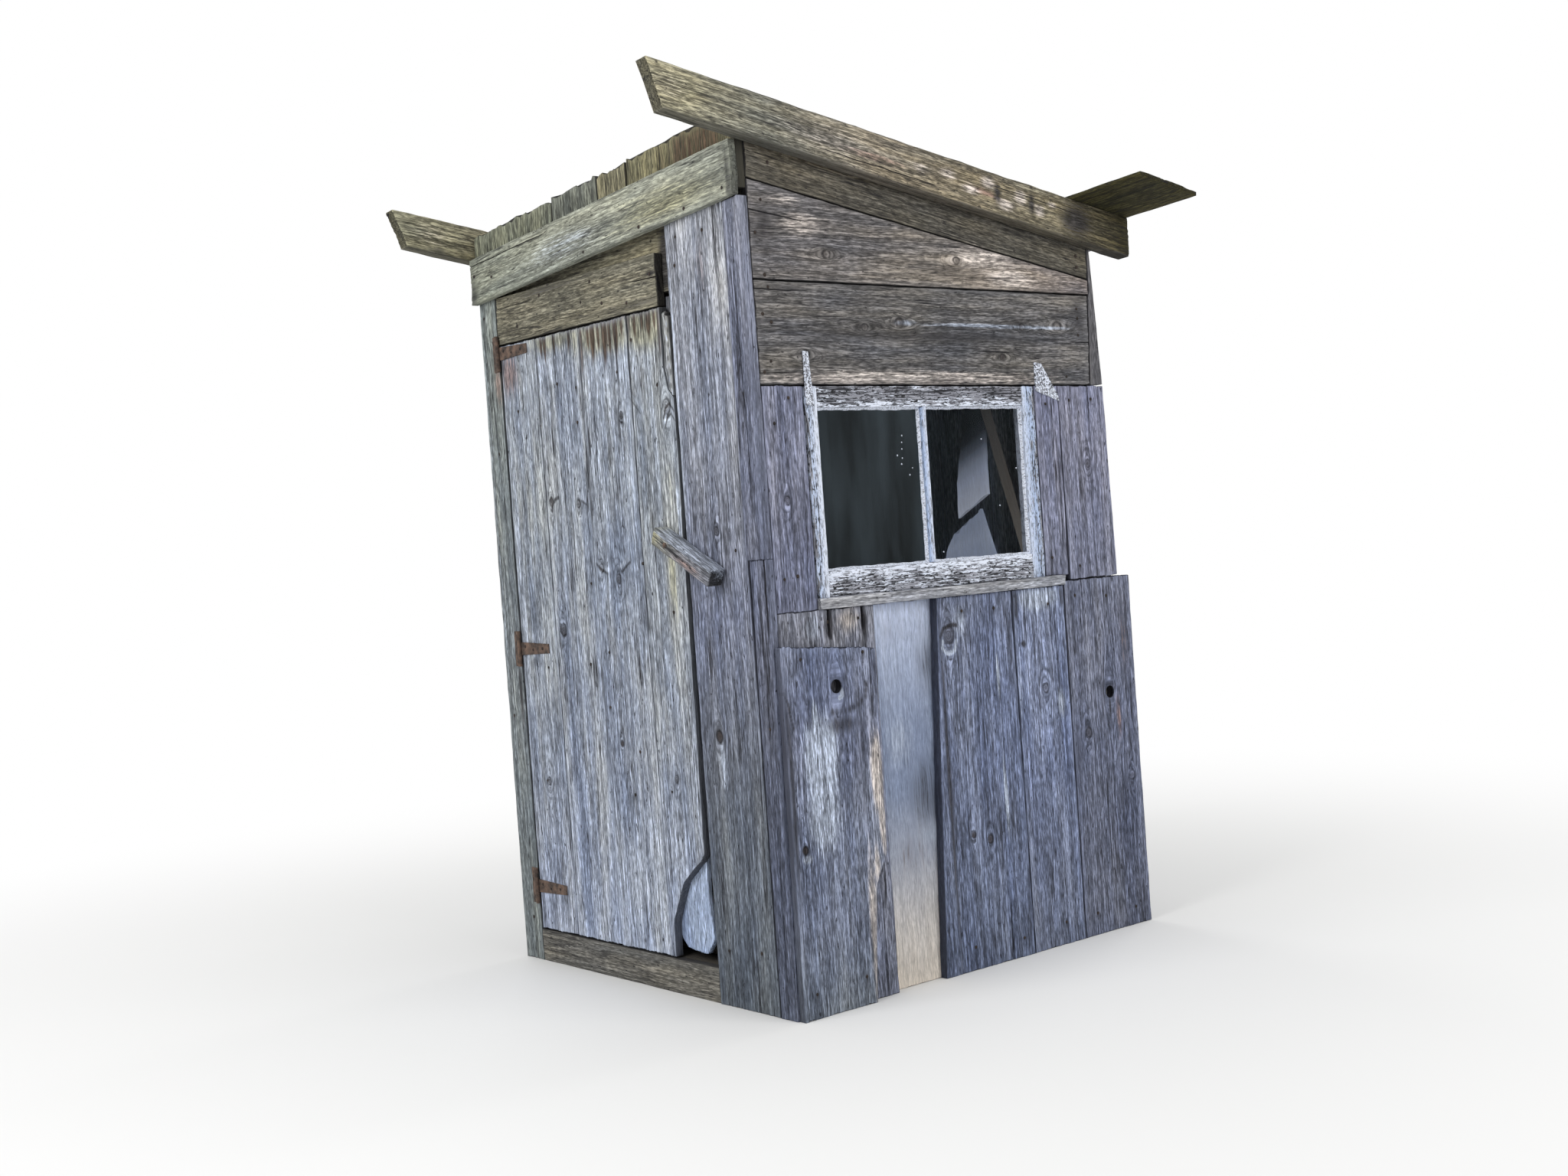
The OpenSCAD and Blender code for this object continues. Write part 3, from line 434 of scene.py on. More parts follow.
def carve(board, seed, shades, patches=(), nails=(), wear=None, cup=None, step=(0.026, 0.015), cracks=(),
          many=0.9, ripple=0.0004, pith=(0.5, 0.09), scatter=0.0, hole=None, ragged=0.0012, warp=0.0015,
          ends=0.6, seam=1.0):
    """One board as vertices, faces and attributes. Rings of one rounded profile lie along the board;
    the point at part s of the length and part f of the width is at u between the two ends and v between
    the two edges. Edges and ends wander by small sums of sines. The face sinks at cracks as a V whose
    depth fades along the crack, swells at knots, and bends by cup times the squared distance from the
    middle and by a twist that grows to the ends. Growth rings are circles round the pith, which lies at
    a part of the width and a depth, and late wood follows them. Joint shade is 1 where the edges lie in a
    joint, which paints shade on the board's edges and side faces, and under 0.7 where they are in the
    open, which paints none."""
    rng = np.random.default_rng(seed)
    settings = bpy.context.scene.outhouse_boards
    wear = settings.wear if wear is None else wear
    cup = settings.cup if cup is None else cup
    span = board.length()
    start = board.low[0][0]
    width = board.width(start + span / 2)
    knots = knots_on(board, rng, scatter)
    cracks = cracks_on(board, rng, many, cracks)
    nails = [nail for nail in nails if abs(board.outward @ nail[1]) > 0.7 and board.holds(nail[0])]
    rings, columns = grid_of(board, knots, cracks, patches, nails, hole, wear, step)
    back = columns if hole is not None else np.linspace(0, 1, max(2, int(width / 0.035) + 1))
    part, side, drop, deep, outer = profile(columns, back)

    s = rings[:, None]
    f = part[None, :]
    first = board.low[0][0] + f * (board.high[0][0] - board.low[0][0])
    last = board.low[-1][0] + f * (board.high[-1][0] - board.low[-1][0])
    first = first + wave(f * width, rng, (0.017, 0.05, 0.12), ragged)
    last = last + wave(f * width, rng, (0.017, 0.05, 0.12), ragged)
    u = first * (1 - s) + last * s
    low = np.interp(u, *board.low.T) + wave(u, rng, (0.9, 0.23, 0.07), 0.0006)
    high = np.interp(u, *board.high.T) + wave(u, rng, (0.8, 0.21, 0.06), 0.0006)
    radius = wear * (1 + 0.35 * wave(u, rng, (0.31, 0.12), 1.0))
    inner = np.maximum(high - low - 2 * radius, 0.001)
    sway = wave(u, rng, (1.1, 0.47), 0.0025) * 4 * f * (1 - f)
    v = low + radius + f * inner + radius * side[None, :] + sway
    w = board.thick * deep[None, :] + radius * drop[None, :]

    # the ends are rounded by drawing the profile in along a quarter circle
    near = np.minimum(s, 1 - s) * span / wear
    draw = wear * (1 - np.sqrt(np.clip(1 - (1 - np.clip(near, 0, 1)) ** 2, 0, 1)))
    w = np.clip(w, draw, board.thick - draw)
    v = np.clip(v, low + draw, high - draw)

    face = outer[None, :]
    crack = np.zeros_like(v)
    for place, begin, end, half, depth in cracks:
        t = np.clip((s - begin) / (end - begin), 0, 1)
        reach = np.sqrt(np.sin(math.pi * t)) * np.clip(1 - np.abs(f - place) * width / half, 0, 1)
        crack = np.maximum(crack, reach * (face > 0.9))
        w = w + np.where(face > 0.9, depth * reach, 0)
    relief = wave(v + u * 0.02, rng, (0.05, 0.021, 0.013), ripple) + wave(u, rng, (0.35, 0.13), ripple)
    w = w + face * relief
    middle = 2 * f - 1
    w = w + cup * rng.choice([-1, 1]) * (middle**2 - 0.4) + warp * rng.uniform(-1, 1) * middle * (2 * s - 1)

    flow = grain_flow(u, v, knots)
    if hole is not None:
        flow = grain_flow(u, flow, np.array([[*board.flat(hole), HOLE_RADIUS * 1.15, 0]]))
    centre = np.interp(start + span / 2, *board.low.T) + width * pith[0]
    ring = np.sqrt((flow - centre) ** 2 + (pith[1] + w) ** 2)
    ring = ring + wave(u, rng, (1.3, 0.55, 0.27), 0.006) + rng.choice([-1, 1]) * 0.012 * (u - start)

    # round a knot the rings close in, the wood swirls, the rim is cracked and the face swells or sinks
    knot = np.zeros_like(v)
    swirl = np.zeros_like(v)
    for ku, kv, size, dark in knots:
        oval = ((u - ku) / (5 * size)) ** 2 + ((v - kv) / (2.2 * size)) ** 2
        ring = ring + 2.4 * size * np.exp(-oval)
        swirl = np.maximum(swirl, np.exp(-0.6 * oval))
        away = np.sqrt(((u - ku) / 1.25) ** 2 + (v - kv) ** 2)
        mask = 1 - ramp(away, 0.75 * size, 1.1 * size)
        knot = np.maximum(knot, mask * (0.55 + 0.45 * dark))
        rim = np.exp(-(((away - size) / (0.28 * size)) ** 2)) * (0.5 + 0.5 * (v > kv))
        crack = np.maximum(crack, 0.3 * rim * face)
        ring = np.where(mask > 0.5, away * 1.3, ring)
        w = w + face * np.where(dark, 0.0012, -0.0008) * mask

    edge = np.minimum(np.minimum(v - low, high - v), np.minimum(u - first, last - u))
    spot = board.place(u, v, w)
    spot[..., 2] = np.maximum(spot[..., 2], 0)
    masks = patch_masks(board, u, v, spot, patches, nails)
    offset = rng.uniform(-20, 20, 3)
    made = {
        "grain": np.stack([u + offset[0], flow + offset[1], w + offset[2]], axis=-1),
        "ring": ring,
        "shade": shade_of(board, shades, s, v.shape, ends),
        "stain": masks[..., :3],
        "tint": masks[..., 3:],
        "wear": np.stack([crack, seam * np.exp(-np.maximum(edge, 0) / JOINT_SHADE_REACH), knot], axis=-1),
        "swirl": swirl,
    }
    return board_faces(board, spot, made, len(columns), hole)


def board_faces(board, spot, made, wide, hole):
    """Joins neighbouring rings with quads and closes both ends with one face. Wide is how many columns
    the outer face has."""
    count, turn = spot.shape[:2]
    index = np.arange(count * turn).reshape(count, turn)
    after = np.roll(index, -1, axis=1)
    quads = np.stack([index[:-1], index[1:], after[1:], after[:-1]], axis=-1)
    points = spot.reshape(-1, 3)
    if hole is None:
        quads = quads.reshape(-1, 4)
    else:
        quads = pierce(board, points, index, quads, made["wear"], wide, hole)
    return {"points": points, "quads": quads, "caps": [index[0][::-1], index[-1]],
            "data": {name: values.reshape(len(points), -1) for name, values in made.items()}}


def pierce(board, points, index, quads, worn, wide, hole):
    """Opens a knot hole: leaves out a block of quads on both faces, draws the block's rim to a circle
    and walls the two rims together."""
    hu, hv = board.flat(hole)
    plane = points @ np.column_stack([board.along, board.across])
    shape = plane.reshape(*index.shape, 2)
    rows = np.nonzero(np.abs(shape[:, wide // 2, 0] - hu) < HOLE_RADIUS * 1.05)[0]
    cols = np.nonzero(np.abs(shape[rows[len(rows) // 2], :wide, 1] - hv) < HOLE_RADIUS * 1.05)[0]
    top, bottom, first, last = rows[0], rows[-1], cols[0], cols[-1]
    mirror = 2 * wide + 2 * len(CORNER_STEPS)
    keep = np.ones(quads.shape[:2], bool)
    keep[top:bottom, first:last] = False
    keep[top:bottom, mirror - last:mirror - first] = False
    path = np.array(
        [(top, c) for c in range(first, last)] + [(r, last) for r in range(top, bottom)]
        + [(bottom, c) for c in range(last, first, -1)] + [(r, first) for r in range(bottom, top, -1)])
    front_rim = index[path[:, 0], path[:, 1]]
    back_rim = index[path[:, 0], mirror - path[:, 1]]
    for rim in (front_rim, back_rim):
        away = plane[rim] - np.array([hu, hv])
        shift = away / np.linalg.norm(away, axis=1, keepdims=True) * HOLE_RADIUS - away
        points[rim] += shift[:, :1] * board.along + shift[:, 1:] * board.across
    worn = worn.reshape(-1, 3)
    # painted shade: the walls of the hole darken from a little at the front rim to the crack colour at the
    # back rim, as the inside of the hole lies in shade
    worn[front_rim, 0] = np.maximum(worn[front_rim, 0], 0.15)
    worn[back_rim, 0] = 1
    walls = np.stack([front_rim, np.roll(front_rim, -1), np.roll(back_rim, -1), back_rim], axis=-1)
    return np.concatenate([quads[keep], walls])


def signed_volume(points, quads, caps):
    """Six times the volume inside the faces, positive where they point outwards."""
    corners = points[quads]
    total = np.einsum("ij,ij->", corners[:, 0], np.cross(corners[:, 1], corners[:, 2]))
    total += np.einsum("ij,ij->", corners[:, 0], np.cross(corners[:, 2], corners[:, 3]))
    for cap in caps:
        fan = points[cap]
        total += np.einsum("ij,ij->", np.broadcast_to(fan[0], fan[1:-1].shape),
                           np.cross(fan[1:-1], fan[2:]))
    return total


def fill_mesh(name, parts, smooth=True):
    """One mesh object from parts, each turned so that its faces point outwards."""
    points = []
    loops = []
    sizes = []
    flats = []
    data = {}
    base = 0
    for part in parts:
        quads = part["quads"]
        caps = part.get("caps", [])
        if signed_volume(part["points"] - part["points"].mean(axis=0), quads, caps) < 0:
            quads = quads[:, ::-1]
            caps = [cap[::-1] for cap in caps]
        used = np.unique(np.concatenate([quads.ravel()] + list(caps)))
        fresh = np.full(len(part["points"]), -1)
        fresh[used] = np.arange(len(used)) + base
        points.append(part["points"][used])
        loops += [fresh[quads].ravel()] + [fresh[cap] for cap in caps]
        sizes += [np.full(len(quads), 4), np.array([len(cap) for cap in caps], int)]
        flats += [np.zeros(len(quads), bool), np.ones(len(caps), bool)]
        for key, values in part.get("data", {}).items():
            data.setdefault(key, []).append(values[used])
        base += len(used)
    points = np.concatenate(points)
    loops = np.concatenate(loops)
    sizes = np.concatenate(sizes)
    mesh = bpy.data.meshes.new(name)
    mesh.vertices.add(len(points))
    mesh.vertices.foreach_set("co", points.ravel())
    mesh.loops.add(len(loops))
    mesh.loops.foreach_set("vertex_index", loops.astype(np.int32))
    mesh.polygons.add(len(sizes))
    starts = np.append(0, np.cumsum(sizes)[:-1])
    mesh.polygons.foreach_set("loop_start", starts.astype(np.int32))
    mesh.polygons.foreach_set("use_smooth", (~np.concatenate(flats)) & smooth)
    for key, values in data.items():
        values = np.concatenate(values)
        kind, field = ("FLOAT", "value") if values.shape[1] == 1 else ("FLOAT_VECTOR", "vector")
        layer = mesh.attributes.new(key, kind, "POINT")
        layer.data.foreach_set(field, values.astype(np.float32).ravel())
    mesh.update(calc_edges=True)
    mesh.validate()
    piece = bpy.data.objects.new(name, mesh)
    bpy.context.scene.collection.objects.link(piece)
    return piece


def fit(piece, material, body, slot, *nodes):
    """Gives a piece its finish and its body, and hides the nodes that it stands for. The slot is not used.
    """
    piece.data.materials.append(material)
    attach(piece, body)
    if nodes:
        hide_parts(*nodes)
    return piece


def finish_node(node, material):
    """Puts a finish on a node of the frame that keeps its own mesh."""
    piece = frame["nodes"][node]
    piece.data.materials.clear()
    piece.data.materials.append(material)


def add_node(tree, kind, *values, named=(), out=None, **settings):
    """Adds one node with its settings, and gives its output of a name, or else its first one in use.
    Values go to the inputs in use, in order, and named ones by name. Another node's output is linked."""
    made = tree.nodes.new("ShaderNode" + kind)
    for key, value in settings.items():
        setattr(made, key, value)
    used = [socket for socket in made.inputs if socket.enabled]
    for socket, value in [*zip(used, values), *((made.inputs[key], named[key]) for key in named)]:
        if isinstance(value, bpy.types.NodeSocket):
            tree.links.new(value, socket)
        else:
            socket.default_value = value
    return made.outputs[out] if out else next((socket for socket in made.outputs if socket.enabled), None)


def new_material(name):
    """An empty material, and the function that adds a node to it."""
    material = bpy.data.materials.new(name)
    material.use_nodes = True
    material.node_tree.nodes.clear()
    return material, functools.partial(add_node, material.node_tree)


# Cycles a metre of each noise along the grain and across it, and its detail. Real fibres are finer than
# a pixel of the photograph, so they are drawn about 4 mm wide.
NOISES = {
    "fibre": ((42.0, 290.0, 290.0), 3),
    "streak": ((6.0, 160.0, 160.0), 3),
    "band": ((1.2, 19.0, 19.0), 3),
    "cloud": ((2.4, 5.5, 5.5), 3),
    "check": ((2.4, 62.0, 62.0), 2),
    "place": ((3.6, 27.0, 27.0), 2),
    "pit": ((38.0, 120.0, 120.0), 2),
}
PAINT_NOISES = {
    "flakes": ((20.0, 150.0, 150.0), 5),
    "speck": ((60.0, 260.0, 260.0), 3),
    "fibre": ((9.0, 260.0, 260.0), 3),
}
# How many doublings of brightness the full swing of a noise gives
FIGURE = {"fibre": 6.0, "streak": 3.8, "band": 1.7, "cloud": 1.3}
# Warm and cool ends of the wood's tone, as factors on red, green and blue
WARM = (1.07, 1.01, 0.90, 1.0)
COOL = (0.94, 0.98, 1.08, 1.0)
KNOT_BROWN = rgba("#3b3534")
IRON_DUST = rgba("#857a70")
SASH_CRACK = rgba("#222329")
SASH_PIT = rgba("#19191d")
DULL_CHALK = rgba("#c3cde0")
BLUE_CHALK = rgba("#9db2d6")
FILM_DARK = rgba("#191e20")
FILM_LIGHT = rgba("#353d42")
FLOOR_GREY = rgba("#e9e9e8")
WHITE = (1, 1, 1, 1)


def weathered_wood(name, contrast=1.0, swing=1.0, checks=1.0, rings=0.22, relief=0.0018, glow=0.0):
    """Sawn softwood left bare for decades: silver grey, its soft early wood worn below the late wood
    lines, with dark checks along the grain, so it looks dry, streaked and ribbed."""
    material, add = new_material(name)
    settings = bpy.context.scene.outhouse_boards
    colours = bpy.context.scene.outhouse_finishes
    grain, shade = [add("Attribute", out="Vector", attribute_name=key) for key in ("grain", "shade")]
    ring, swirl = [add("Attribute", out="Fac", attribute_name=key) for key in ("ring", "swirl")]
    masks = []
    for key in ("stain", "tint", "wear"):
        masks += add("SeparateXYZ", add("Attribute", out="Vector", attribute_name=key)).node.outputs
    crack, edge, knot = masks[6:]
    noises = {}
    for k, (key, (scale, detail)) in enumerate(NOISES.items()):
        stretched = add("VectorMath", grain, scale, (31.7 * k,) * 3, operation="MULTIPLY_ADD")
        noises[key] = add("TexNoise", stretched, 1.0, detail, 0.6)

    # brightness is two to the power of a weighted sum of the noises about their middles
    weights = {key: weight * contrast for key, weight in FIGURE.items()}
    total = -0.5 * sum(weights.values())
    for key, weight in weights.items():
        total = add("Math", noises[key], weight, total, operation="MULTIPLY_ADD")
    light = add("Clamp", add("Math", 2.0, total, operation="POWER"), 0.3, 2.2)

    # the tone swings between warm and cool with the wide noises
    hue = add("Math", noises["cloud"], 1.6 * swing, 0.5 - 1.6 * swing, operation="MULTIPLY_ADD")
    hue = add("Math", noises["band"], 1.6 * swing, hue, operation="MULTIPLY_ADD", use_clamp=True)
    tone = add("Mix", hue, COOL, WARM, data_type="RGBA")
    colour = add("VectorMath", shade, tone, operation="MULTIPLY")
    colour = add("VectorMath", colour, light, operation="SCALE")

    # late wood lines: a sine of the distance from the pith, shaken by a noise and strongest round knots
    phase = add("Math", ring, 2 * math.pi / settings.ring_gap, operation="MULTIPLY")
    phase = add("Math", noises["band"], 9.0, phase, operation="MULTIPLY_ADD")
    phase = add("Math", phase, operation="SINE")
    late = add("MapRange", phase, 0.2, 0.95, interpolation_type="SMOOTHSTEP")
    depth = add("Math", swirl, 0.55, rings, operation="MULTIPLY_ADD")
    cover = add("Math", late, depth, operation="MULTIPLY", use_clamp=True)
    darker = add("VectorMath", colour, 0.42, operation="SCALE")
    colour = add("Mix", cover, colour, darker, data_type="RGBA")

    # stains, and the patches of painted shade and light: each mask is torn by the streaks, more or less by
    # its kind, before it colours the wood
    for kind, code, tear, most in (
            (PALE, colours.pale, 0.7, 0.8), (RUST, colours.rust, 1.2, 0.75), (GREEN, colours.moss, 0.8, 0.6),
            (FRESH_AND_SUNLIT, colours.fresh, 0.7, 0.85), (BROWN, colours.brown, 1.6, 0.9),
            (DARK, colours.dark, 1.2, 0.9)):
        torn = add("Math", noises["streak"], tear, masks[kind], operation="MULTIPLY_ADD")
        torn = add("Math", noises["fibre"], 0.6 * tear, torn, operation="MULTIPLY_ADD")
        torn = add("MapRange", torn, 0.8 * tear + 0.12, 0.8 * tear + 0.75, 0.0, most,
                   interpolation_type="SMOOTHSTEP")
        held = add("Math", masks[kind], 4.0, operation="MULTIPLY", use_clamp=True)
        torn = add("Math", torn, held, operation="MULTIPLY")
        cover = add("VectorMath", tuple(code), light, operation="SCALE")
        colour = add("Mix", torn, colour, cover, data_type="RGBA")

    # knots, pale worn edges, then the painted shade of joints and the dark of checks and cracks
    knot = add("Math", knot, 0.8, operation="MULTIPLY")
    colour = add("Mix", knot, colour, KNOT_BROWN, data_type="RGBA")
    pale = add("Math", edge, noises["streak"], operation="MULTIPLY")
    lighter = add("VectorMath", shade, 1.45, operation="SCALE")
    colour = add("Mix", pale, colour, lighter, data_type="RGBA")
    # painted shade: in a joint the board's edges and side faces are darkened, as shade falls between the
    # boards
    dark = add("MapRange", edge, 0.72, 0.93, 0.0, 0.8)
    split = add("MapRange", crack, 0.05, 0.35, 0.0, 0.97)
    dark = add("Math", dark, split, operation="MAXIMUM")
    # a check runs where a stretched noise crosses its middle, as far as a second noise lets it, and a pit
    # lies where a third one peaks
    for key, mask, half, low, most in (
            ("check", "place", 0.04, 0.47, 0.9), ("streak", "check", 0.055, 0.44, 0.6)):
        away = add("Math", noises[key], 0.5, operation="SUBTRACT")
        away = add("Math", away, operation="ABSOLUTE")
        line = add("MapRange", away, 0.0, half, most * checks, 0.0)
        held = add("MapRange", noises[mask], low, low + 0.14)
        line = add("Math", line, held, operation="MULTIPLY", use_clamp=True)
        dark = add("Math", dark, line, operation="MAXIMUM")
    pit = add("MapRange", noises["pit"], 0.66, 0.72, 0.0, 0.8 * checks)
    dark = add("Math", dark, pit, operation="MAXIMUM")
    colour = add("Mix", dark, colour, (*colours.crack, 1.0), data_type="RGBA")

    height = add("Math", noises["streak"], 1.2, operation="MULTIPLY")
    for source, share in ((noises["fibre"], 0.7), (late, 0.3), (dark, -0.9)):
        height = add("Math", source, share, height, operation="MULTIPLY_ADD")
    ribs = add("Bump", named={"Strength": 0.9, "Distance": relief, "Height": height})
    add("OutputMaterial", add("BsdfPrincipled", named={
        "Base Color": colour, "Roughness": 0.86, "Specular IOR Level": 0.2, "Normal": ribs,
        "Emission Color": colour, "Emission Strength": glow}))
    return material


def rusty_iron(name, darkness=1.0):
    """Forged strap iron rusted through: matt brown scale with dark pits, so it eats the light."""
    material, add = new_material(name)
    colours = bpy.context.scene.outhouse_finishes
    place = add("TexCoord", out="Object")
    coarse = add("TexNoise", place, 55.0, 5.0)
    fine = add("TexNoise", place, 420.0, 3.0)
    amount = add("MapRange", coarse, 0.36, 0.66)
    colour = add("Mix", amount, (*colours.scale, 1.0), (*colours.iron, 1.0), data_type="RGBA")
    amount = add("MapRange", fine, 0.58, 0.75, 0.0, 0.4)
    colour = add("Mix", amount, colour, IRON_DUST, data_type="RGBA")
    colour = add("VectorMath", colour, darkness, operation="SCALE")
    height = add("Math", coarse, 0.6, fine, operation="MULTIPLY_ADD")
    pits = add("Bump", named={"Strength": 0.8, "Distance": 0.0012, "Height": height})
    add("OutputMaterial", add("BsdfPrincipled", named={
        "Base Color": colour, "Metallic": 0.1, "Roughness": 0.88, "Normal": pits}))
    return material


def flaking_paint(name, use_grain=True, worn=0.45):
    """Old white oil paint on pine, brushed on and now flaking: chalky islands with raised rims over
    bare grey wood with black pits, so the sash looks speckled. The brown stain says how bare a member
    is, and the pale stain how blue."""
    material, add = new_material(name)
    colours = bpy.context.scene.outhouse_finishes
    if use_grain:
        place = add("Attribute", out="Vector", attribute_name="grain")
        masks = add("SeparateXYZ", add("Attribute", out="Vector", attribute_name="stain")).node.outputs
        bare, blue = masks[BROWN], masks[PALE]
    else:
        place = add("TexCoord", out="Object")
        bare, blue = worn, 0.0
    noises = {}
    for key, (scale, detail) in PAINT_NOISES.items():
        stretched = add("VectorMath", place, scale, operation="MULTIPLY")
        noises[key] = add("TexNoise", stretched, 1.0, detail, 0.65)
    level = add("Math", bare, -0.3, noises["flakes"], operation="MULTIPLY_ADD")
    level = add("Math", noises["speck"], 0.3, level, operation="MULTIPLY_ADD")
    paint = add("MapRange", level, 0.46, 0.5)
    grey = add("MapRange", noises["fibre"], 0.4, 0.58)
    wood = add("Mix", grey, SASH_CRACK, (*colours.bare, 1.0), data_type="RGBA")
    chalk = add("Mix", noises["fibre"], DULL_CHALK, (*colours.paint, 1.0), data_type="RGBA")
    blue = add("Math", blue, 0.8, operation="MULTIPLY", use_clamp=True)
    chalk = add("Mix", blue, chalk, BLUE_CHALK, data_type="RGBA")
    colour = add("Mix", paint, wood, chalk, data_type="RGBA")
    pit = add("MapRange", noises["speck"], 0.52, 0.6, 0.0, 1.6)
    worst = add("Math", bare, 0.2, operation="ADD")
    pit = add("Math", pit, worst, operation="MULTIPLY", use_clamp=True)
    colour = add("Mix", pit, colour, SASH_PIT, data_type="RGBA")
    height = add("Math", noises["fibre"], 0.5, paint, operation="MULTIPLY_ADD")
    rim = add("Bump", named={"Strength": 0.8, "Distance": 0.0008, "Height": height})
    add("OutputMaterial", add("BsdfPrincipled", named={
        "Base Color": colour, "Roughness": 0.75, "Specular IOR Level": 0.3, "Normal": rim}))
    return material


def dusty_glass(name):
    """Old window glass, drawn flat and never cleaned: the front pane is dulled by a dark greenish film,
    and the back pane is clear enough to show the inside."""
    material, add = new_material(name)
    place = add("TexCoord", out="Object")
    film = add("TexNoise", add("VectorMath", place, (14.0, 14.0, 3.0), operation="MULTIPLY"), 1.0, 3.0)
    tone = add("Mix", add("MapRange", film, 0.35, 0.7), FILM_DARK, FILM_LIGHT, data_type="RGBA")
    along = add("SeparateXYZ", place, out="Y")
    cover = add("MapRange", along, -0.07, -0.03, 0.82, 0.12)
    add("OutputMaterial", add("BsdfPrincipled", named={
        "Base Color": tone, "Roughness": 0.1, "IOR": 1.45, "Specular IOR Level": 0.1, "Alpha": cover}))
    return material


# Each finish: what makes it, the real material, and how it differs from plain weathered board
FINISHES = {
    # silver grey with dark streaks, so the door is the palest face
    "door": (weathered_wood, "silvered pine door boards", {"swing": 1.4, "checks": 1.15}),
    # the same wood, duller where the roof keeps the sun off
    "front": (weathered_wood, "silvered pine siding", {"checks": 1.1}),
    # olive brown, soft and even, as under an eave
    "head": (weathered_wood, "olive weathered pine", {"contrast": 1.1, "rings": 0.3, "swing": 0.7}),
    "fascia": (weathered_wood, "moss tinged pine", {"contrast": 0.85, "rings": 0.2, "swing": 0.7}),
    # brownish, with long dark streaks down from the roof
    "side": (weathered_wood, "brown grey siding", {"contrast": 1.15, "swing": 1.3}),
    "side_grey": (weathered_wood, "violet grey siding", {}),
    # bluish and strongly ribbed, the most weathered boards
    "lower": (weathered_wood, "blue grey siding", {"contrast": 1.15, "relief": 0.0022}),
    "wall": (weathered_wood, "plain grey siding", {}),
    # sun browned and coarse, lighter on its upper edge
    "rake": (weathered_wood, "sun browned pine", {"contrast": 1.3, "swing": 1.4}),
    "deck": (weathered_wood, "roof boards", {}),
    "frame": (weathered_wood, "sheltered framing pine", {"contrast": 0.7, "checks": 0.6}),
    "button": (weathered_wood, "hand worn hardwood", {"contrast": 1.3, "swing": 0.6}),
    # a fresher piece, paler and less checked than the door
    "split": (weathered_wood, "split pine sapwood", {"contrast": 0.8, "rings": 0.12, "checks": 0.5}),
    # smooth and pale, nearly without grain
    "pale": (weathered_wood, "unweathered sheet",
             {"contrast": 0.35, "swing": 0.3, "rings": 0.04, "checks": 0.12, "relief": 0.0005}),
    # the same sheet inside, which glows: painted light that stands in for the light falling through the gaps
    # of the roof
    "inside": (weathered_wood, "torn pale sheet inside",
               {"contrast": 0.12, "swing": 0.3, "rings": 0.0, "checks": 0.0, "relief": 0.0005, "glow": 0.3}),
    "paint": (flaking_paint, "flaking white paint", {}),
    "hanger": (flaking_paint, "flaking white paint on iron", {"use_grain": False, "worn": 0.42}),
    "putty": (flaking_paint, "painted window putty", {"use_grain": False, "worn": 0.15}),
    "iron": (rusty_iron, "rusted strap iron", {}),
    "nail": (rusty_iron, "rusted nail heads", {"darkness": 0.25}),
    "glass": (dusty_glass, "dusty window glass", {}),
}


def finish(key):
    """The finish of this key, made when it is first asked for."""
    make, name, how = FINISHES[key]
    return bpy.data.materials.get(name) or make(name, **how)


def setting(name, about, default, **kind):
    """A number that a user may change, or a colour or a place where its default has three."""
    make = bpy.props.FloatVectorProperty if np.ndim(default) else bpy.props.FloatProperty
    return make(name=name, description=about, default=default, **kind)


def colour_setting(name, about, code):
    """A colour that a user may change, from its hex code."""
    return setting(name, about, linear(code), subtype="COLOR")


class BoardSettings(bpy.types.PropertyGroup):
    """Sizes that all boards share."""

    wear: setting("Edge wear", "Radius of a board's worn edges", 0.0025, unit="LENGTH")
    cup: setting("Cup", "How far a board's edges curl from its middle", 0.0014, unit="LENGTH")
    ring_gap: setting("Ring gap", "Distance between two late wood lines", 0.0075, unit="LENGTH")
    nail: setting("Nail head", "Radius of a nail's head", 0.0045, unit="LENGTH")
    putty: setting("Putty", "Width of the putty round a pane", 0.007, unit="LENGTH")


class FinishSettings(bpy.types.PropertyGroup):
    """Colours that the finishes share."""

    brown: colour_setting("Brown stain", "Run-off from the roof", "#44342a")
    # the dark colour also paints the shade in gaps, in holes and under the rakes
    dark: colour_setting("Dark stain", "Rot and iron stain", "#2e2d30")
    # the pale colour also paints the highlight on the top of the turn button
    pale: colour_setting("Pale patch", "Wood bleached by the sun", "#a6afbf")
    rust: colour_setting("Rust stain", "Rust washed down from a hinge", "#7d655c")
    moss: colour_setting("Moss", "Algae on damp boards", "#918d6b")
    # the torn wood colour also paints the sun patches on the gable and the rakes
    fresh: colour_setting("Torn wood", "Wood laid bare where a board is torn", "#b8afa8")
    crack: colour_setting("Cracks", "Inside of checks and seams", "#1d1c20")
    paint: colour_setting("Paint", "White paint of the sash", "#f1f5ff")
    bare: colour_setting("Bare sash", "Grey wood under the paint", "#a0a2ac")
    iron: colour_setting("Rust", "Rusted iron", "#6a564a")
    scale: colour_setting("Iron scale", "Dark scale on the iron", "#322a26")


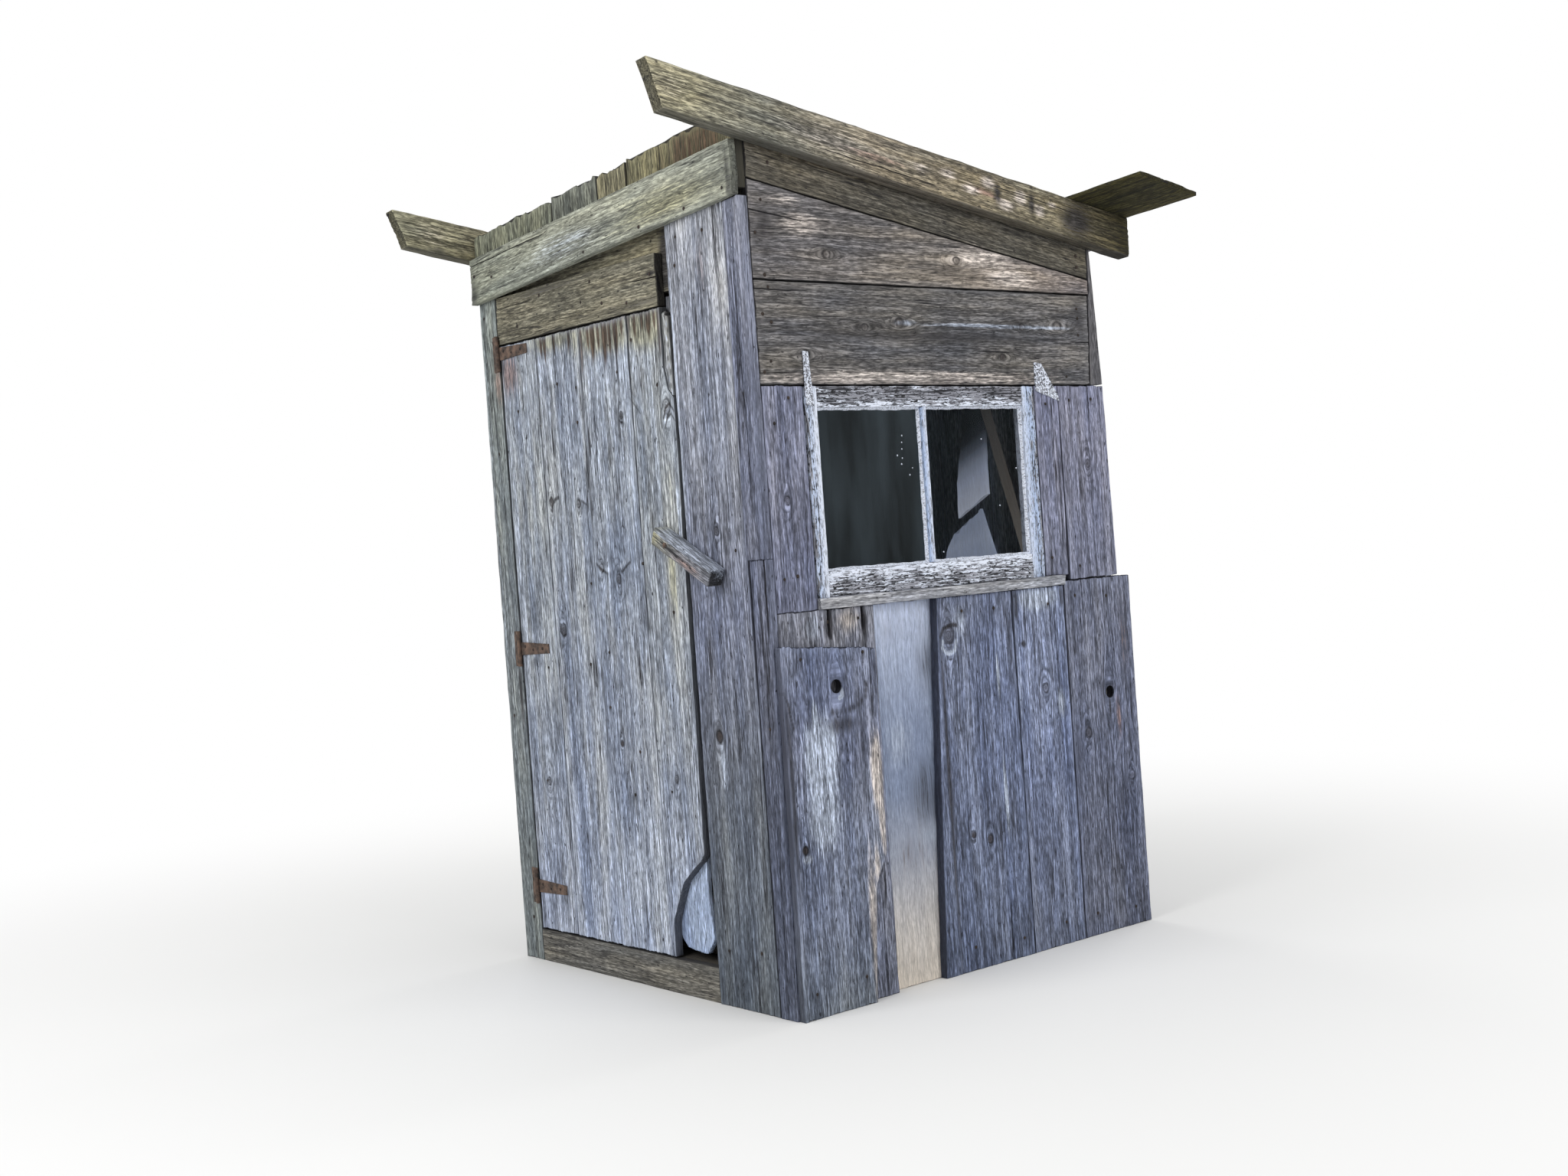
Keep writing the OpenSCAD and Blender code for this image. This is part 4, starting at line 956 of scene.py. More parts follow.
class StageSettings(bpy.types.PropertyGroup):
    """Where the photograph was taken from, and how the object is lit."""

    place: setting("Camera", "Where the camera stands", (3.9377, -3.299, 1.1413), subtype="TRANSLATION")
    turn: setting("Turn", "Turn of the view to the left of straight back", 0.8818, subtype="ANGLE")
    pitch: setting("Pitch", "Rise of the view over the level", -0.0251, subtype="ANGLE")
    roll: setting("Roll", "Roll of the camera", -0.0711, subtype="ANGLE")
    lens: setting("Lens", "Focal length on a 36 mm sensor", 41.58, unit="CAMERA")
    sky: setting("Sky", "Strength of the even light from all round", 0.5)
    key: setting("Key", "Power of the soft lamp before the door", 150.0, unit="POWER")
    side: setting("Side", "Power of the soft lamp before the window", 105.0, unit="POWER")
    fill: setting("Fill", "Power of the soft lamps behind", 80.0, unit="POWER")


# What the soft lamps face, and their width
LIT_MIDDLE = (0.0, 0.0, 1.1)
LAMP_SIZE = 3.2
FLOOR_HALF = 40.0


def soft_lamp(name, place, power):
    """A square area lamp at a place, turned to face the object's middle."""
    lamp = bpy.data.lights.new(name, "AREA")
    lamp.energy = power
    lamp.size = LAMP_SIZE
    holder = bpy.data.objects.new(name, lamp)
    holder.location = place
    holder.rotation_euler = (Vector(LIT_MIDDLE) - Vector(place)).to_track_quat("-Z", "Y").to_euler()
    bpy.context.scene.collection.objects.link(holder)


def add_camera(settings):
    """The camera, whose axes are those of a level view, turned by the pitch and then by the roll."""
    cosine = math.cos(settings.pitch)
    ahead = Vector((-math.sin(settings.turn) * cosine, math.cos(settings.turn) * cosine,
                    math.sin(settings.pitch)))
    right = Vector((math.cos(settings.turn), math.sin(settings.turn), 0))
    over = right.cross(ahead)
    level = math.cos(settings.roll)
    tilt = math.sin(settings.roll)
    axes = Matrix((right * level + over * tilt, over * level - right * tilt, -ahead)).transposed()
    camera = bpy.data.cameras.new("camera")
    camera.sensor_width = 36
    camera.lens = settings.lens
    holder = bpy.data.objects.new("camera", camera)
    holder.matrix_world = Matrix.Translation(settings.place) @ axes.to_4x4()
    bpy.context.scene.collection.objects.link(holder)
    bpy.context.scene.camera = holder


def add_surround(settings):
    """Even light from all round, which the camera, metal and glass see as plain white."""
    world = bpy.data.worlds.new("surround")
    world.use_nodes = True
    world.node_tree.nodes.clear()
    add = functools.partial(add_node, world.node_tree)
    path = add("LightPath").node.outputs
    seen = add("Math", path["Is Camera Ray"], path["Is Transmission Ray"], operation="MAXIMUM")
    seen = add("Math", seen, path["Is Glossy Ray"], operation="MAXIMUM")
    strength = add("MapRange", seen, 0.0, 1.0, settings.sky, 1.0)
    add("OutputWorld", add("Background", WHITE, strength))
    bpy.context.scene.world = world


def add_floor():
    """The floor, which keeps the shadow near the object and is plain white far from it."""
    mesh = bpy.data.meshes.new("floor")
    corners = [(x * FLOOR_HALF, y * FLOOR_HALF, 0) for x, y in ((-1, -1), (1, -1), (1, 1), (-1, 1))]
    mesh.from_pydata(corners, [], [(0, 1, 2, 3)])
    floor = bpy.data.objects.new("floor", mesh)
    bpy.context.scene.collection.objects.link(floor)
    material, add = new_material("pale floor")
    reach = add("VectorMath", add("TexCoord", out="Object"), operation="LENGTH")
    far = add("MapRange", reach, 1.2, 4.2, interpolation_type="SMOOTHSTEP")
    far = add("Math", far, add("LightPath", out="Is Camera Ray"), operation="MULTIPLY")
    matt = add("BsdfDiffuse", FLOOR_GREY)
    white = add("Emission", WHITE, 1.0)
    add("OutputMaterial", add("MixShader", far, matt, white))
    mesh.materials.append(material)


class OUTHOUSE_OT_stage(bpy.types.Operator):
    """Adds the camera, the floor, the white surround and the soft lamps"""

    bl_idname = "outhouse.stage"
    bl_label = "Stage"

    def execute(self, context):
        settings = context.scene.outhouse_stage
        context.scene.view_settings.view_transform = "Standard"
        add_camera(settings)
        soft_lamp("door lamp", (0.4, -4.6, 3.4), settings.key)
        soft_lamp("window lamp", (4.8, 0.6, 3.0), settings.side)
        soft_lamp("left lamp", (-4.8, 0.8, 3.2), settings.fill)
        soft_lamp("back lamp", (0.0, 4.8, 3.2), settings.fill)
        add_surround(settings)
        add_floor()
        return {"FINISHED"}


def patches_on(spot, rows):
    """Patches of one side, from rows of kind, place, half length along the grain and half width across
    it in millimetres, and strength."""
    return [(kind, spot(across, height), half_along / 1000, half_across / 1000, strength)
            for kind, across, height, half_along, half_across, strength in rows]


def stroke(kind, half, strength, *points):
    """Rows of patches a step apart along a bent line, each a little longer than wide."""
    points = np.array(points, float)
    runs = np.append(0, np.cumsum(np.linalg.norm(np.diff(points, axis=0), axis=1)))
    places = np.linspace(0, runs[-1], max(2, int(runs[-1] / (1.5 * half)) + 1))
    return [(kind, np.interp(at, runs, points[:, 0]), np.interp(at, runs, points[:, 1]), 1.3 * half, half,
             strength) for at in places]


# The patches of each board or group, as patches_on takes them
LEFT_PATCHES = patches_on(on_front, [
    (RUST, -532, 1650, 70, 22, 0.75), (DARK, -537, 780, 80, 8, 0.9), (RUST, -537, 740, 90, 12, 0.4),
    (PALE, -600, 1300, 700, 12, 0.35),
])
DOOR_TOP = 1750
# Brown runs at the door's top: x, the height of the lower end, half width and strength
DOOR_RUNS = [
    (-300, 1722, 5, 1.1), (-280, 1708, 6, 1.2), (-232, 1722, 5, 1.0), (-160, 1716, 5, 0.9),
    (-103, 1672, 5, 1.6), (-68, 1712, 5, 1.1), (-48, 1690, 9, 1.4), (-20, 1702, 5, 1.0), (8, 1672, 12, 1.1),
    (34, 1694, 6, 1.1), (62, 1696, 9, 1.6), (92, 1722, 6, 1.0), (120, 1712, 5, 1.0), (147, 1716, 7, 1.3),
    (180, 1728, 5, 1.0), (209, 1712, 9, 1.4), (236, 1724, 5, 1.0), (255, 1664, 5, 1.5),
]
DOOR_PATCHES = patches_on(on_front, [
    (BROWN, 60, 1760, 22, 260, 0.8), (RUST, -476, 1668, 62, 56, 0.75),
    (GREEN, -240, 1748, 42, 130, 1.0), (GREEN, 30, 1732, 64, 190, 1.15), (GREEN, 190, 1722, 64, 90, 1.15),
    (GREEN, 250, 1330, 170, 30, 0.25), (GREEN, 236, 1080, 130, 22, 0.6),
    (PALE, 60, 1630, 80, 200, 0.55), (PALE, -250, 1650, 70, 150, 0.5), (PALE, -430, 1560, 120, 20, 0.5),
    (PALE, -200, 1480, 160, 26, 0.45), (PALE, 20, 1480, 120, 18, 0.5), (PALE, 200, 1420, 160, 16, 0.5),
    (PALE, -109, 1155, 40, 4, 1.6), (PALE, -65, 1590, 120, 22, 0.6), (PALE, 95, 1520, 70, 25, 0.45),
    (PALE, -490, 1150, 330, 14, 0.75), (PALE, -60, 1330, 200, 14, 0.4), (PALE, 285, 1250, 160, 8, 0.7),
    (PALE, 270, 620, 250, 14, 0.35),
    (DARK, -376, 1560, 160, 12, 0.3), (DARK, -150, 1540, 130, 12, 0.3), (DARK, 150, 1600, 100, 14, 0.3),
    (DARK, -300, 1420, 200, 10, 0.25), (DARK, 30, 1380, 150, 10, 0.25), (DARK, 262, 1090, 60, 5, 0.5),
    (DARK, -112, 1600, 140, 6, 0.9), (DARK, -96, 1445, 38, 4, 1.5), (DARK, -106, 1362, 46, 4, 1.5),
    (DARK, -107, 1266, 34, 4, 1.2), (DARK, 60, 1640, 110, 5, 0.7),
    *[(BROWN, x, (DOOR_TOP + low) / 2, 0.62 * (DOOR_TOP + 24 - low), half, 1.4 * strength)
      for x, low, half, strength in DOOR_RUNS],
    *stroke(DARK, 5, 0.9, (-303, 1274), (-298, 1292), (-282, 1303), (-266, 1307)),
    *stroke(DARK, 4, 0.7, (-152, 1290), (-130, 1279)),
    *stroke(DARK, 4, 0.75, (-104, 1120), (-82, 1104), (-56, 1092)),
    *stroke(PALE, 5, 0.9, (-94, 1124), (-66, 1108), (-44, 1100)),
    *stroke(DARK, 4, 0.85, (52, 1118), (30, 1106), (12, 1095)),
    *stroke(PALE, 5, 0.8, (44, 1126), (18, 1114), (2, 1106)),
    *stroke(DARK, 4, 0.8, (-302, 960), (-306, 942), (-292, 928), (-278, 932)),
    *stroke(DARK, 3, 0.85, (246, 1474), (258, 1498), (276, 1508), (293, 1488)),
    *stroke(DARK, 3, 0.7, (250, 1448), (264, 1474), (280, 1482), (294, 1464)),
    *stroke(PALE, 3, 0.9, (248, 1462), (262, 1487), (278, 1495), (293, 1476)),
    *stroke(DARK, 3, 0.6, (104, 1542), (126, 1518), (146, 1496)),
    *stroke(PALE, 3, 0.8, (112, 1552), (138, 1524), (158, 1500)),
])
# Splinters of the split strip, from its top down
STRIP_PATCHES = patches_on(on_front, [
    ((DARK, PALE)[k % 2], 282 + 5 * (k % 3), 1722 - 17 * k, 7, 3, 1.3) for k in range(13)])
WIDE_PATCHES = patches_on(on_front, [
    (PALE, 308, 1500, 420, 8, 1.4), (PALE, 392, 600, 60, 12, 0.7), (DARK, 380, 680, 22, 16, 0.8),
    (RUST, 440, 1820, 110, 20, 0.3),
])
HEAD_PATCHES = patches_on(on_front, [
    (DARK, -260, 1880, 200, 14, 0.6), (DARK, 235, 1838, 22, 8, 0.9), (DARK, 60, 1772, 300, 12, 0.45),
    (PALE, -40, 1895, 240, 8, 0.4),
])
# The dark patch at the fascia's right end (x 604) is painted shade
FASCIA_PATCHES = patches_on(on_front, [
    (DARK, 604, 1960, 12, 120, 1.0), (DARK, -600, 1900, 30, 80, 0.6), (GREEN, 330, 1995, 260, 45, 0.6),
    (PALE, -130, 1965, 220, 45, 0.35),
])
# The dark patch of the recess board is painted shade in the gap between the head board and the wide board
RECESS_PATCHES = patches_on(on_front, [(DARK, 284, 1830, 34, 120, 2.0)])
# The dark patch along the right edge of the band (x 606) is painted shade
TOP_PATCHES = patches_on(on_front, [(DARK, 606, 2080, 120, 12, 1.2), (BROWN, 450, 2100, 120, 140, 0.6)])
# The strong dark patch at (-432, 785) is painted shade on the board behind the knot hole of the patch board
LOWER_FRONT_PATCHES = patches_on(on_side, [
    (DARK, -432, 785, 30, 30, 4.0), (DARK, -422, 950, 44, 6, 2.5), (DARK, -312, 944, 40, 5, 2.5),
    (FRESH_AND_SUNLIT, -365, 945, 40, 36, 0.7), (PALE, -480, 930, 40, 30, 0.5),
])
PATCH_BOARD_PATCHES = patches_on(on_side, [
    (PALE, -494, 610, 100, 50, 1.3), (PALE, -500, 480, 90, 50, 1.05), (PALE, -506, 700, 50, 9, 1.5),
    (PALE, -456, 660, 40, 9, 1.3), (PALE, -560, 384, 10, 16, 1.0),
    (DARK, -598, 560, 260, 13, 1.0), (DARK, -420, 690, 26, 60, 0.6), (DARK, -370, 560, 130, 14, 0.35),
    (DARK, -566, 406, 9, 9, 1.3),
    (FRESH_AND_SUNLIT, -320, 560, 90, 18, 1.3), (FRESH_AND_SUNLIT, -312, 440, 90, 12, 1.0), (FRESH_AND_SUNLIT, -340, 330, 60, 12, 0.7),
    (FRESH_AND_SUNLIT, -362, 160, 190, 16, 1.0),
    *stroke(DARK, 9, 0.55, (-338, 780), (-342, 752), (-366, 732), (-404, 722), (-450, 724)),
    *stroke(DARK, 6, 0.8, (-600, 784), (-586, 748), (-578, 700)),
    *stroke(PALE, 4, 1.5, (-414, 774), (-412, 762), (-424, 756)),
])
SIDE_PATCHES = patches_on(on_side, [
    (PALE, 320, 950, 36, 75, 1.2), (PALE, 388, 655, 40, 18, 0.8), (PALE, 20, 905, 50, 30, 0.5),
    (PALE, 150, 756, 50, 5, 1.2), (PALE, 150, 430, 90, 6, 1.3), (PALE, 230, 700, 160, 10, 0.4),
    (DARK, 231, 940, 45, 8, 1.8), (DARK, 414, 950, 34, 6, 1.4), (DARK, 253, 826, 9, 8, 1.3),
    (DARK, -55, 500, 480, 9, 0.75), (DARK, 588, 622, 22, 4, 1.3), (DARK, 440, 500, 90, 30, 0.4),
    (RUST, 622, 590, 60, 12, 0.6), (BROWN, 660, 800, 130, 25, 0.3),
    *stroke(DARK, 5, 1.0, (-54, 872), (-40, 892), (-14, 900), (6, 897)),
    *stroke(PALE, 5, 1.0, (-46, 858), (-50, 840), (-30, 826), (-4, 832), (4, 856)),
])
LINING_PATCHES = patches_on(on_side, [
    (DARK, -85, 800, 90, 40, 0.5), (DARK, -120, 470, 110, 60, 0.5), (BROWN, -180, 330, 80, 60, 0.3),
    (BROWN, -200, 900, 40, 60, 0.2), (PALE, -200, 620, 80, 60, 0.5), (PALE, -100, 380, 40, 60, 0.6),
])
# The fresh patches at (190, 1850), (300, 1800) and (-430, 1905) on the gable board are painted sunlight
LEVEL_PATCHES = patches_on(on_side, [
    (PALE, -60, 1532, 380, 14, 0.5), (PALE, 250, 1672, 260, 5, 0.9), (PALE, -100, 1674, 40, 8, 0.6),
    (FRESH_AND_SUNLIT, -60, 1532, 520, 20, 0.8), (FRESH_AND_SUNLIT, -480, 1960, 60, 14, 0.5), (FRESH_AND_SUNLIT, 190, 1850, 110, 30, 0.8),
    (FRESH_AND_SUNLIT, 300, 1800, 90, 26, 0.8), (FRESH_AND_SUNLIT, -430, 1905, 70, 30, 0.6),
    (DARK, 60, 1812, 160, 26, 0.35), (DARK, 0, 1640, 500, 16, 0.5), (DARK, -500, 1750, 90, 10, 0.5),
    (DARK, 0, 1985, 600, 9, 0.3), (DARK, -540, 1900, 40, 60, 0.5), (DARK, 560, 1700, 30, 70, 0.5),
])
# How bare the brown leaves the paint on each member of the sash, and how blue the pale makes it
SASH_PATCHES = patches_on(on_side, [
    (BROWN, -300, 1500, 900, 36, 1.0), (BROWN, 250, 1500, 900, 36, 1.0), (BROWN, -300, 1012, 900, 50, 0.72),
    (BROWN, 250, 1012, 900, 50, 0.66), (BROWN, 352, 1250, 900, 30, 0.5), (BROWN, -450, 1250, 900, 20, 0.58),
    (BROWN, -62, 1250, 900, 13, 0.22),
    (PALE, 340, 1250, 900, 30, 1.0), (PALE, -70, 1250, 900, 14, 1.1), (PALE, -445, 1100, 900, 16, 0.8),
])
# Patches of a rake: kind, parts of its length and of its height, half sizes in millimetres, strength.
# The two wide fresh patches at 0.05 and 0.32 of its length are painted sunlight, and the long dark one
# just under its low edge is painted shade on its underside.
RAKE_PATCHES = [
    (FRESH_AND_SUNLIT, 0.05, 0.5, 80, 50, 0.3), (FRESH_AND_SUNLIT, 0.32, 0.5, 150, 44, 0.36), (FRESH_AND_SUNLIT, 0.52, 0.5, 40, 22, 0.4),
    (FRESH_AND_SUNLIT, 0.58, 0.62, 34, 20, 0.6), (FRESH_AND_SUNLIT, 0.63, 0.4, 34, 14, 0.7), (FRESH_AND_SUNLIT, 0.67, 0.7, 30, 18, 0.8),
    (FRESH_AND_SUNLIT, 0.71, 0.3, 34, 16, 0.8), (FRESH_AND_SUNLIT, 0.745, 0.6, 24, 22, 0.75), (FRESH_AND_SUNLIT, 0.79, 0.42, 24, 18, 0.7),
    (FRESH_AND_SUNLIT, 0.82, 0.66, 20, 12, 0.6), (RUST, 0.42, 0.4, 140, 12, 0.5), (RUST, 0.66, 0.45, 60, 10, 0.7),
    (DARK, 0.69, 0.5, 14, 30, 0.9), (DARK, 0.77, 0.5, 12, 30, 0.9), (DARK, 0.88, 0.5, 70, 50, 0.8),
    (DARK, 0.5, -0.03, 2000, 5, 2.0), (GREEN, 0.06, 0.5, 70, 50, 0.5),
]

# Nails of the door, then of the boards round it, (x, z) in millimetres
DOOR_NAILS = [
    (129, 1686), (57, 1612), (-141, 1594), (-230, 1613), (-330, 1510), (-146, 1501), (111, 1113),
    (-137, 1068), (229, 985), (-166, 850), (-74, 883), (-86, 736), (35, 622), (-1, 507), (166, 525),
    (-440, 1560), (-430, 520), (230, 1560), (-380, 840),
]
FRONT_NAILS = [
    (-39, 1861), (-289, 1862), (-89, 1814), (10, 1797), (121, 1781), (-411, 1795), (230, 1838), (348, 1910),
    (458, 1908), (338, 1841), (-590, 1840), (-560, 1450), (-585, 700), (-560, 120), (350, 1120), (500, 1130),
    (360, 140), (490, 150), (580, 1500), (585, 700),
]
FASCIA_NAILS = [(229, 1955), (-25, 1935), (573, 1986), (421, 1965), (-496, 1945), (-590, 1960)]
# Nails of the window side, (y, z)
SIDE_NAILS = [
    (-517, 2047), (-546, 1957), (-569, 1878), (-549, 1778), (-541, 1750), (-564, 1685), (-539, 1666),
    (-548, 1573), (-570, 1547), (567, 1873), (568, 1843), (556, 1727), (557, 1701), (556, 1655), (498, 1540),
    (-552, 1425), (-554, 1053), (-513, 1058), (-503, 1486), (405, 1466), (500, 1475), (590, 1478),
    (390, 1049), (500, 1020), (-423, 941), (-330, 943), (30, 932), (150, 930), (360, 925), (470, 940),
    (600, 930), (-540, 860), (-340, 860), (0, 60), (180, 50), (350, 60), (480, 60), (640, 50), (-560, 60),
    (-400, 70),
]
# Drops of paint on the panes, (y, z)
PAINT_DROPS = [
    (-128, 1390), (-130, 1373), (-131, 1356), (-148, 1340), (-131, 1333), (-135, 1318), (-109, 1290),
    (-98, 1307), (212, 1199), (284, 1296), (-8, 1088), (158, 1376),
]
# Screws of one hinge from its middle, (x, z): on the strap, then on the leaf of the jamb
STRAP_SCREWS = [(-492, 6), (-450, -3), (-402, 0)]
LEAF_SCREWS = [(-533, 38), (-531, -6), (-534, -38)]
# The nail that the button turns on, (x, z), how far the button slopes down to the right, in degrees, and
# half its height in metres
BUTTON_NAIL = (283, 1155)
BUTTON_TILT = 27.6
BUTTON_HALF = 0.0225


def front_nails(places):
    """Nails of the door side, as place and outward direction."""
    return [(on_front(x, z), FRONT) for x, z in places]


def side_nails(places):
    """Nails of the window side."""
    return [(on_side(y, z), RIGHT) for y, z in places]


def wall_nails(count, ends, heights, outward):
    """Two nails a board at each height, over a plain wall of count boards between two ends, each a few
    millimetres off its row."""
    low, high = ends
    rng = np.random.default_rng(count)
    nails = []
    for part in (np.arange(2 * count) + np.tile([0.45, 0.55], count)) / (2 * count):
        across = np.cross(UP, outward) * (low + (high - low) * part)
        for height in heights:
            shift = rng.uniform(-0.012, 0.012, 2)
            nails.append((WALL * outward + across * (1 + shift[0]) + UP * (height + shift[1]), outward))
    return nails


def nail_heads(name, pieces, nails, body="outhouse", key="nail", slot="rusty_iron", size=1.0):
    """Worn nail heads as one piece: each is a low dome, set where a ray from outside meets a piece. Size
    makes them smaller than a nail, for drops of paint."""
    bpy.context.view_layer.update()
    radius = bpy.context.scene.outhouse_boards.nail * size
    turn = np.linspace(0, 2 * math.pi, 9)[:-1]
    rings = np.array([(0.9, -0.6), (1.0, 0.05), (0.8, 0.26), (0.35, 0.36)]) * radius
    faces = np.arange(len(rings) * 8).reshape(len(rings), 8)
    after = np.roll(faces, -1, axis=1)
    quads = np.stack([faces[:-1], after[:-1], after[1:], faces[1:]], axis=-1).reshape(-1, 4)
    rng = np.random.default_rng(5)
    parts = []
    for place, outward in nails:
        start = Vector(place + 0.1 * outward)
        hits = [piece.ray_cast(start, Vector(-outward), distance=0.2) for piece in pieces]
        spots = [np.array(spot) for hit, spot, _, _ in hits if hit]
        if not spots:
            continue
        best = max(spots, key=lambda spot: spot @ outward)
        side = unit(np.cross(outward, np.array([0.3, 0.5, 0.8])))
        over = np.cross(outward, side)
        scale = rng.uniform(0.8, 1.15)
        lean = rng.uniform(-0.12, 0.12, 2)
        flat = rings[:, :1, None] * scale * np.stack([np.cos(turn), np.sin(turn)], axis=-1)[None]
        rise = rings[:, 1:] + flat @ lean
        points = best + flat[..., :1] * side + flat[..., 1:] * over + rise[..., None] * outward
        parts.append({"points": points.reshape(-1, 3), "quads": quads, "caps": [faces[0][::-1], faces[-1]]})
    return fit(fill_mesh(name, parts), finish(key), body, slot)


def wood_piece(name, boards, key, seed, shades, **how):
    """Carves the boards of a node as one piece in the node's place. Shades hold the colours of one board
    after another, each from its low end up, and start again where there are more boards."""
    node = boards[0].node
    parts = [carve(board, seed * 100 + k, shades[k % len(shades)], **how) for k, board in enumerate(boards)]
    return fit(fill_mesh(name, parts), finish(key), BODIES[node], SLOTS[node], node)


class OUTHOUSE_OT_front_boards(bpy.types.Operator):
    """Adds the upright boards beside the door, the boards over it, the fascia and the band above it"""

    bl_idname = "outhouse.front_boards"
    bl_label = "Front boards"

    def execute(self, context):
        nails = front_nails(FRONT_NAILS)
        pieces = [
            wood_piece("worn_left_corner_board", boards_of("left_corner_board", (FRONT, UP)), "front", 11,
                       ["#72797a #767d82 #7c8380"], patches=LEFT_PATCHES, nails=nails),
            wood_piece("worn_wide_board", boards_of("wide_jamb_board", (FRONT, UP)), "front", 12,
                       ["#5c636b #646b77 #757b8e #8b909c #999da6"], patches=WIDE_PATCHES, nails=nails,
                       pith=(0.45, 0.06), many=1.4),
            wood_piece("worn_corner_strips", boards_of("near_corner_strip", (FRONT, UP), order=UP), "front",
                       13, ["#5c6272 #63687a", "#63687a #767b8c"], nails=nails, pith=(0.5, 0.03),
                       cracks=[(0.55, 0.1, 0.95, 0.0016, 0.007)], seam=0.66),
            wood_piece("worn_head_board", boards_of("door_head_board", (FRONT, RIGHT)), "head", 14,
                       ["#716e60 #767365"], patches=HEAD_PATCHES, nails=nails, pith=(0.4, 0.05)),
        ]
        nail_heads("front_nails", pieces, nails)
        nails = front_nails(FASCIA_NAILS)
        fascia = wood_piece("worn_fascia", boards_of("fascia_board", (FRONT, RIGHT), follow="low"), "fascia",
                            15, ["#85897d #8e9186 #8d9085"], patches=FASCIA_PATCHES, nails=nails,
                            cracks=[(0.14, -0.1, 0.34, 0.0016, 0.006)], pith=(0.5, 0.08), seam=0.66)
        nail_heads("fascia_nails", [fascia], nails)
        wood_piece("worn_top_boards", boards_of("front_top_boards", (FRONT, UP), order=RIGHT), "head", 16,
                   ["#6f7264", "#6d7067", "#777460", "#77745c"], patches=TOP_PATCHES, step=(0.012, 0.012),
                   ragged=0.004, many=1.0)
        wood_piece("worn_recess_board", boards_of("door_head_girt", (FRONT, RIGHT)), "fascia", 17,
                   ["#797563"], patches=RECESS_PATCHES)
        wood_piece("worn_door_stop", boards_of("door_stop", (FRONT, UP)), "front", 18, ["#6f7279"], many=2)
        wood_piece("worn_threshold", boards_of("threshold_board", (FRONT, RIGHT)), "front", 19, ["#6c6a64"])
        return {"FINISHED"}


class OUTHOUSE_OT_door(bpy.types.Operator):
    """Adds the four door boards, the split strip, the ledges and the pale piece at the broken corner"""

    bl_idname = "outhouse.door"
    bl_label = "Door"

    def execute(self, context):
        nails = front_nails(DOOR_NAILS)
        boards = boards_of("door_boards", (FRONT, UP), order=RIGHT, skip=on_front(*BUTTON_NAIL))
        shades = ["#9fa8bb #8b93a1 #8f97a2 #979ea8", "#a1abbf #8c94a3 #8d95a2 #989faa",
                  "#a4aec1 #8f97a6 #9098a5 #9ca3ad", "#a4adbf #9199a7 #8f969f #9aa0a6"]
        door = wood_piece("worn_door_boards", boards, "door", 21, shades, patches=DOOR_PATCHES, nails=nails,
                          step=(0.02, 0.012), cup=0.0018, pith=(0.5, 0.07), many=1.8)
        nail_heads("door_nails", [door], nails, "door")
        wood_piece("worn_split_strip", boards_of("door_split_strip", (FRONT, UP)), "door", 24,
                   ["#999ea4 #9a9b98"], patches=STRIP_PATCHES, step=(0.006, 0.004), ragged=0.003, many=5)
        wood_piece("worn_ledges", boards_of("door_ledges", (BACK, RIGHT)), "frame", 22,
                   ["#7d7768", "#797464"])
        wood_piece("corner_piece", boards_of("door_corner_piece", (FRONT, UP)), "split", 23,
                   ["#98a9c8 #b1c0da"], step=(0.008, 0.008), many=1, cup=0.0005, seam=0.6)
        return {"FINISHED"}


class OUTHOUSE_OT_side_boards(bpy.types.Operator):
    """Adds the frieze, the tapered board, the wide board and the uprights beside the window"""

    bl_idname = "outhouse.side_boards"
    bl_label = "Window side boards"

    def execute(self, context):
        nails = side_nails(SIDE_NAILS)
        how = {"patches": LEVEL_PATCHES, "nails": nails}
        pieces = [
            wood_piece("worn_frieze", boards_of("frieze_board", (RIGHT, FRONT), follow="low"), "side", 31,
                       ["#57544c #5d5950"], **how),
            wood_piece("worn_gable_board", boards_of("gable_board", (RIGHT, FRONT), follow="low"), "side",
                       32, ["#857d79 #76726f #6c6a6b"], pith=(0.5, 0.05), **how),
            wood_piece("worn_wide_side_board", boards_of("wide_side_board", (RIGHT, FRONT)), "side", 33,
                       ["#676667 #605f5f #676667"], pith=(0.35, 0.06), many=1.2, **how),
            wood_piece("worn_window_side_boards", boards_of("window_side_boards", (RIGHT, UP), order=BACK),
                       "side_grey", 34, ["#767a8e #7d8195", "#787c8f #81849a", "#777b8e #7f8297"],
                       pith=(0.5, 0.05), nails=nails),
        ]
        nail_heads("window_side_nails", pieces, nails)
        wood_piece("worn_back_corner_strip", boards_of("back_corner_strip", (RIGHT, UP)), "side_grey", 35,
                   ["#6b6a6d"])
        return {"FINISHED"}


